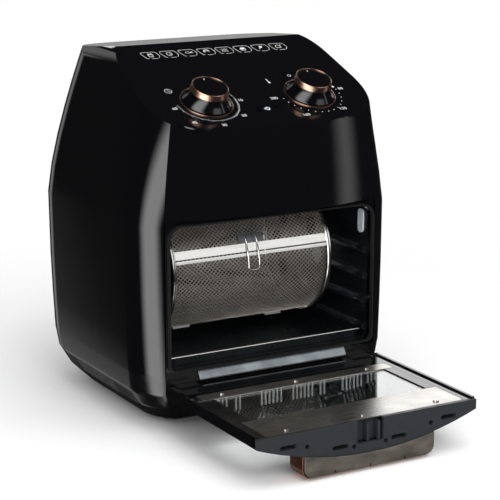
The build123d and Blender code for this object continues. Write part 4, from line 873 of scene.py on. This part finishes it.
# %% Floor
floor_half, fade_start, fade_end = 12000.0, 0.3, 0.95
side = np.array([-floor_half, floor_half])
floor_points = np.stack(np.broadcast_arrays(side[:, None], side[None], 0.0), -1)
floor_paint, tree, bsdf, coords = new_material("pale_matt_floor", "#f4f4f4", Roughness=0.9)
tint(tree, bsdf, spread(tree, grain(tree, coords, 400), 0, 1), "#f2f2f2", "#f6f6f6")
out = tree.nodes["Material Output"]
path = add(tree, "ShaderNodeLightPath").outputs
away = add(tree, "ShaderNodeVectorMath", None, {0: coords}, operation="LENGTH").outputs["Value"]
far = add(tree, "ShaderNodeMapRange", {"From Min": fade_start, "From Max": fade_end}, {"Value": away},
          interpolation_type="SMOOTHSTEP").outputs[0]
plain = add(tree, "ShaderNodeMath", None, {0: path["Is Camera Ray"], 1: path["Is Transmission Ray"]},
            operation="MAXIMUM").outputs[0]
share = add(tree, "ShaderNodeMath", None, {0: far, 1: plain}, operation="MULTIPLY").outputs[0]
white = add(tree, "ShaderNodeEmission", {"Color": colour("#ffffff"), "Strength": 1.0})
seen = add(tree, "ShaderNodeMixShader", None, {0: share, 1: bsdf.outputs[0], 2: white.outputs[0]})
clear = add(tree, "ShaderNodeBsdfTransparent")
mix = add(tree, "ShaderNodeMixShader", None, {0: path["Is Glossy Ray"], 1: seen.outputs[0], 2: clear.outputs[0]})
tree.links.new(mix.outputs[0], out.inputs["Surface"])
floor = new_piece("floor", floor_points, grid_faces(2, 2), floor_paint)

# %% World
world = bpy.data.worlds.new("studio")
bpy.context.scene.world = world
world.use_nodes = True
tree = world.node_tree
tree.nodes.clear()
direction = add(tree, "ShaderNodeTexCoord").outputs["Generated"]
axis = add(tree, "ShaderNodeSeparateXYZ", None, {0: direction}).outputs
front = add(tree, "ShaderNodeMath", {1: -1.0}, {0: axis["Y"]}, operation="MULTIPLY").outputs[0]
azimuth = add(tree, "ShaderNodeMath", None, {0: axis["X"], 1: front}, operation="ARCTAN2").outputs[0]
elevation = add(tree, "ShaderNodeMath", None, {0: axis["Z"]}, operation="ARCSINE").outputs[0]


def window(source, low, high, soft):
    """One inside a range of degrees, falling smoothly to nothing over a soft edge."""
    up = {"From Min": math.radians(low - soft), "From Max": math.radians(low + soft)}
    down_again = {"From Min": math.radians(high - soft), "From Max": math.radians(high + soft),
                  "To Min": 1.0, "To Max": 0.0}
    rise, fall = (add(tree, "ShaderNodeMapRange", limits, {"Value": source}, interpolation_type="SMOOTHSTEP").outputs[0]
                  for limits in (up, down_again))
    return add(tree, "ShaderNodeMath", None, {0: rise, 1: fall}, operation="MULTIPLY").outputs[0]


# Each panel: azimuth range, elevation range, soft edge, strength. Azimuth 0 is the front, positive to the right.
panels = [(-78, -32, -70, 60, 13, 5.5), (56, 64, -60, 50, 4, 1.3), (14, 46, 6, 50, 8, 1.6), (112, 172, 2, 28, 8, 2.8),
          (-176, -160, -60, 60, 5, 0.8)]
total = None
for low, high, bottom, top, soft, strength in panels:
    shape = add(tree, "ShaderNodeMath", None,
                {0: window(azimuth, low, high, soft), 1: window(elevation, bottom, top, soft)},
                operation="MULTIPLY").outputs[0]
    level = add(tree, "ShaderNodeMath", {1: strength}, {0: shape}, operation="MULTIPLY").outputs[0]
    if total is None:
        total = level
    else:
        total = add(tree, "ShaderNodeMath", None, {0: total, 1: level}, operation="ADD").outputs[0]
dark_glow, sky_level = 0.02, 0.95
reflected = add(tree, "ShaderNodeMath", {1: dark_glow}, {0: total}, operation="ADD").outputs[0]
seen = add(tree, "ShaderNodeLightPath").outputs
direct = add(tree, "ShaderNodeMath", None, {0: seen["Is Camera Ray"], 1: seen["Is Transmission Ray"]},
             operation="MAXIMUM").outputs[0]
sky = add(tree, "ShaderNodeMix", {2: sky_level, 3: 1.0}, {0: direct}).outputs[0]
strength = add(tree, "ShaderNodeMix", None, {0: seen["Is Glossy Ray"], 2: sky, 3: reflected}).outputs[0]
background = add(tree, "ShaderNodeBackground", None, {"Strength": strength})
add(tree, "ShaderNodeOutputWorld", None, {"Surface": background.outputs[0]})

# %% Lamps
def softbox(name, azimuth_deg, elevation_deg, distance, size, power, target=(0.0, 0.0, 0.2), shiny=False):
    """Square area lamp on a sphere round the target, turned to face it."""
    a, e = math.radians(azimuth_deg), math.radians(elevation_deg)
    back = np.array([math.sin(a) * math.cos(e), -math.cos(a) * math.cos(e), math.sin(e)])
    lamp = bpy.data.lights.new(name, "AREA")
    lamp.shape, lamp.size, lamp.size_y, lamp.energy = "RECTANGLE", size, size, power
    holder = bpy.data.objects.new(name, lamp)
    bpy.context.scene.collection.objects.link(holder)
    holder.location = np.asarray(target) + back * distance
    holder.rotation_mode = "QUATERNION"
    holder.rotation_quaternion = Vector((-back).tolist()).to_track_quat("-Z", "Y")
    holder.visible_glossy = shiny
    return holder


softbox("top_panel", 20, 70, 2.4, 2.0, 26)
softbox("front_panel", -10, 24, 2.0, 1.2, 22)

# %% Camera
focal_pixels, sensor_width, picture_pixels = 1802.2, 36.0, 500
camera = bpy.data.objects.new("camera", bpy.data.cameras.new("camera"))
bpy.context.scene.collection.objects.link(camera)
bpy.context.scene.camera = camera
camera.data.sensor_width = sensor_width
camera.data.lens = focal_pixels * sensor_width / picture_pixels
view_azimuth, view_elevation, view_distance = math.radians(-29.7), math.radians(13.5), 2191.2
view_target = np.array([50.3, body_y, 161.5])
back = np.array([math.sin(view_azimuth) * math.cos(view_elevation),
                 -math.cos(view_azimuth) * math.cos(view_elevation), math.sin(view_elevation)])
camera.location = (view_target + back * view_distance) * MM
camera.rotation_mode = "QUATERNION"
camera.rotation_quaternion = Vector((-back).tolist()).to_track_quat("-Z", "Y")
camera.data.clip_end = 100.0

bpy.context.scene.view_settings.view_transform = "Standard"
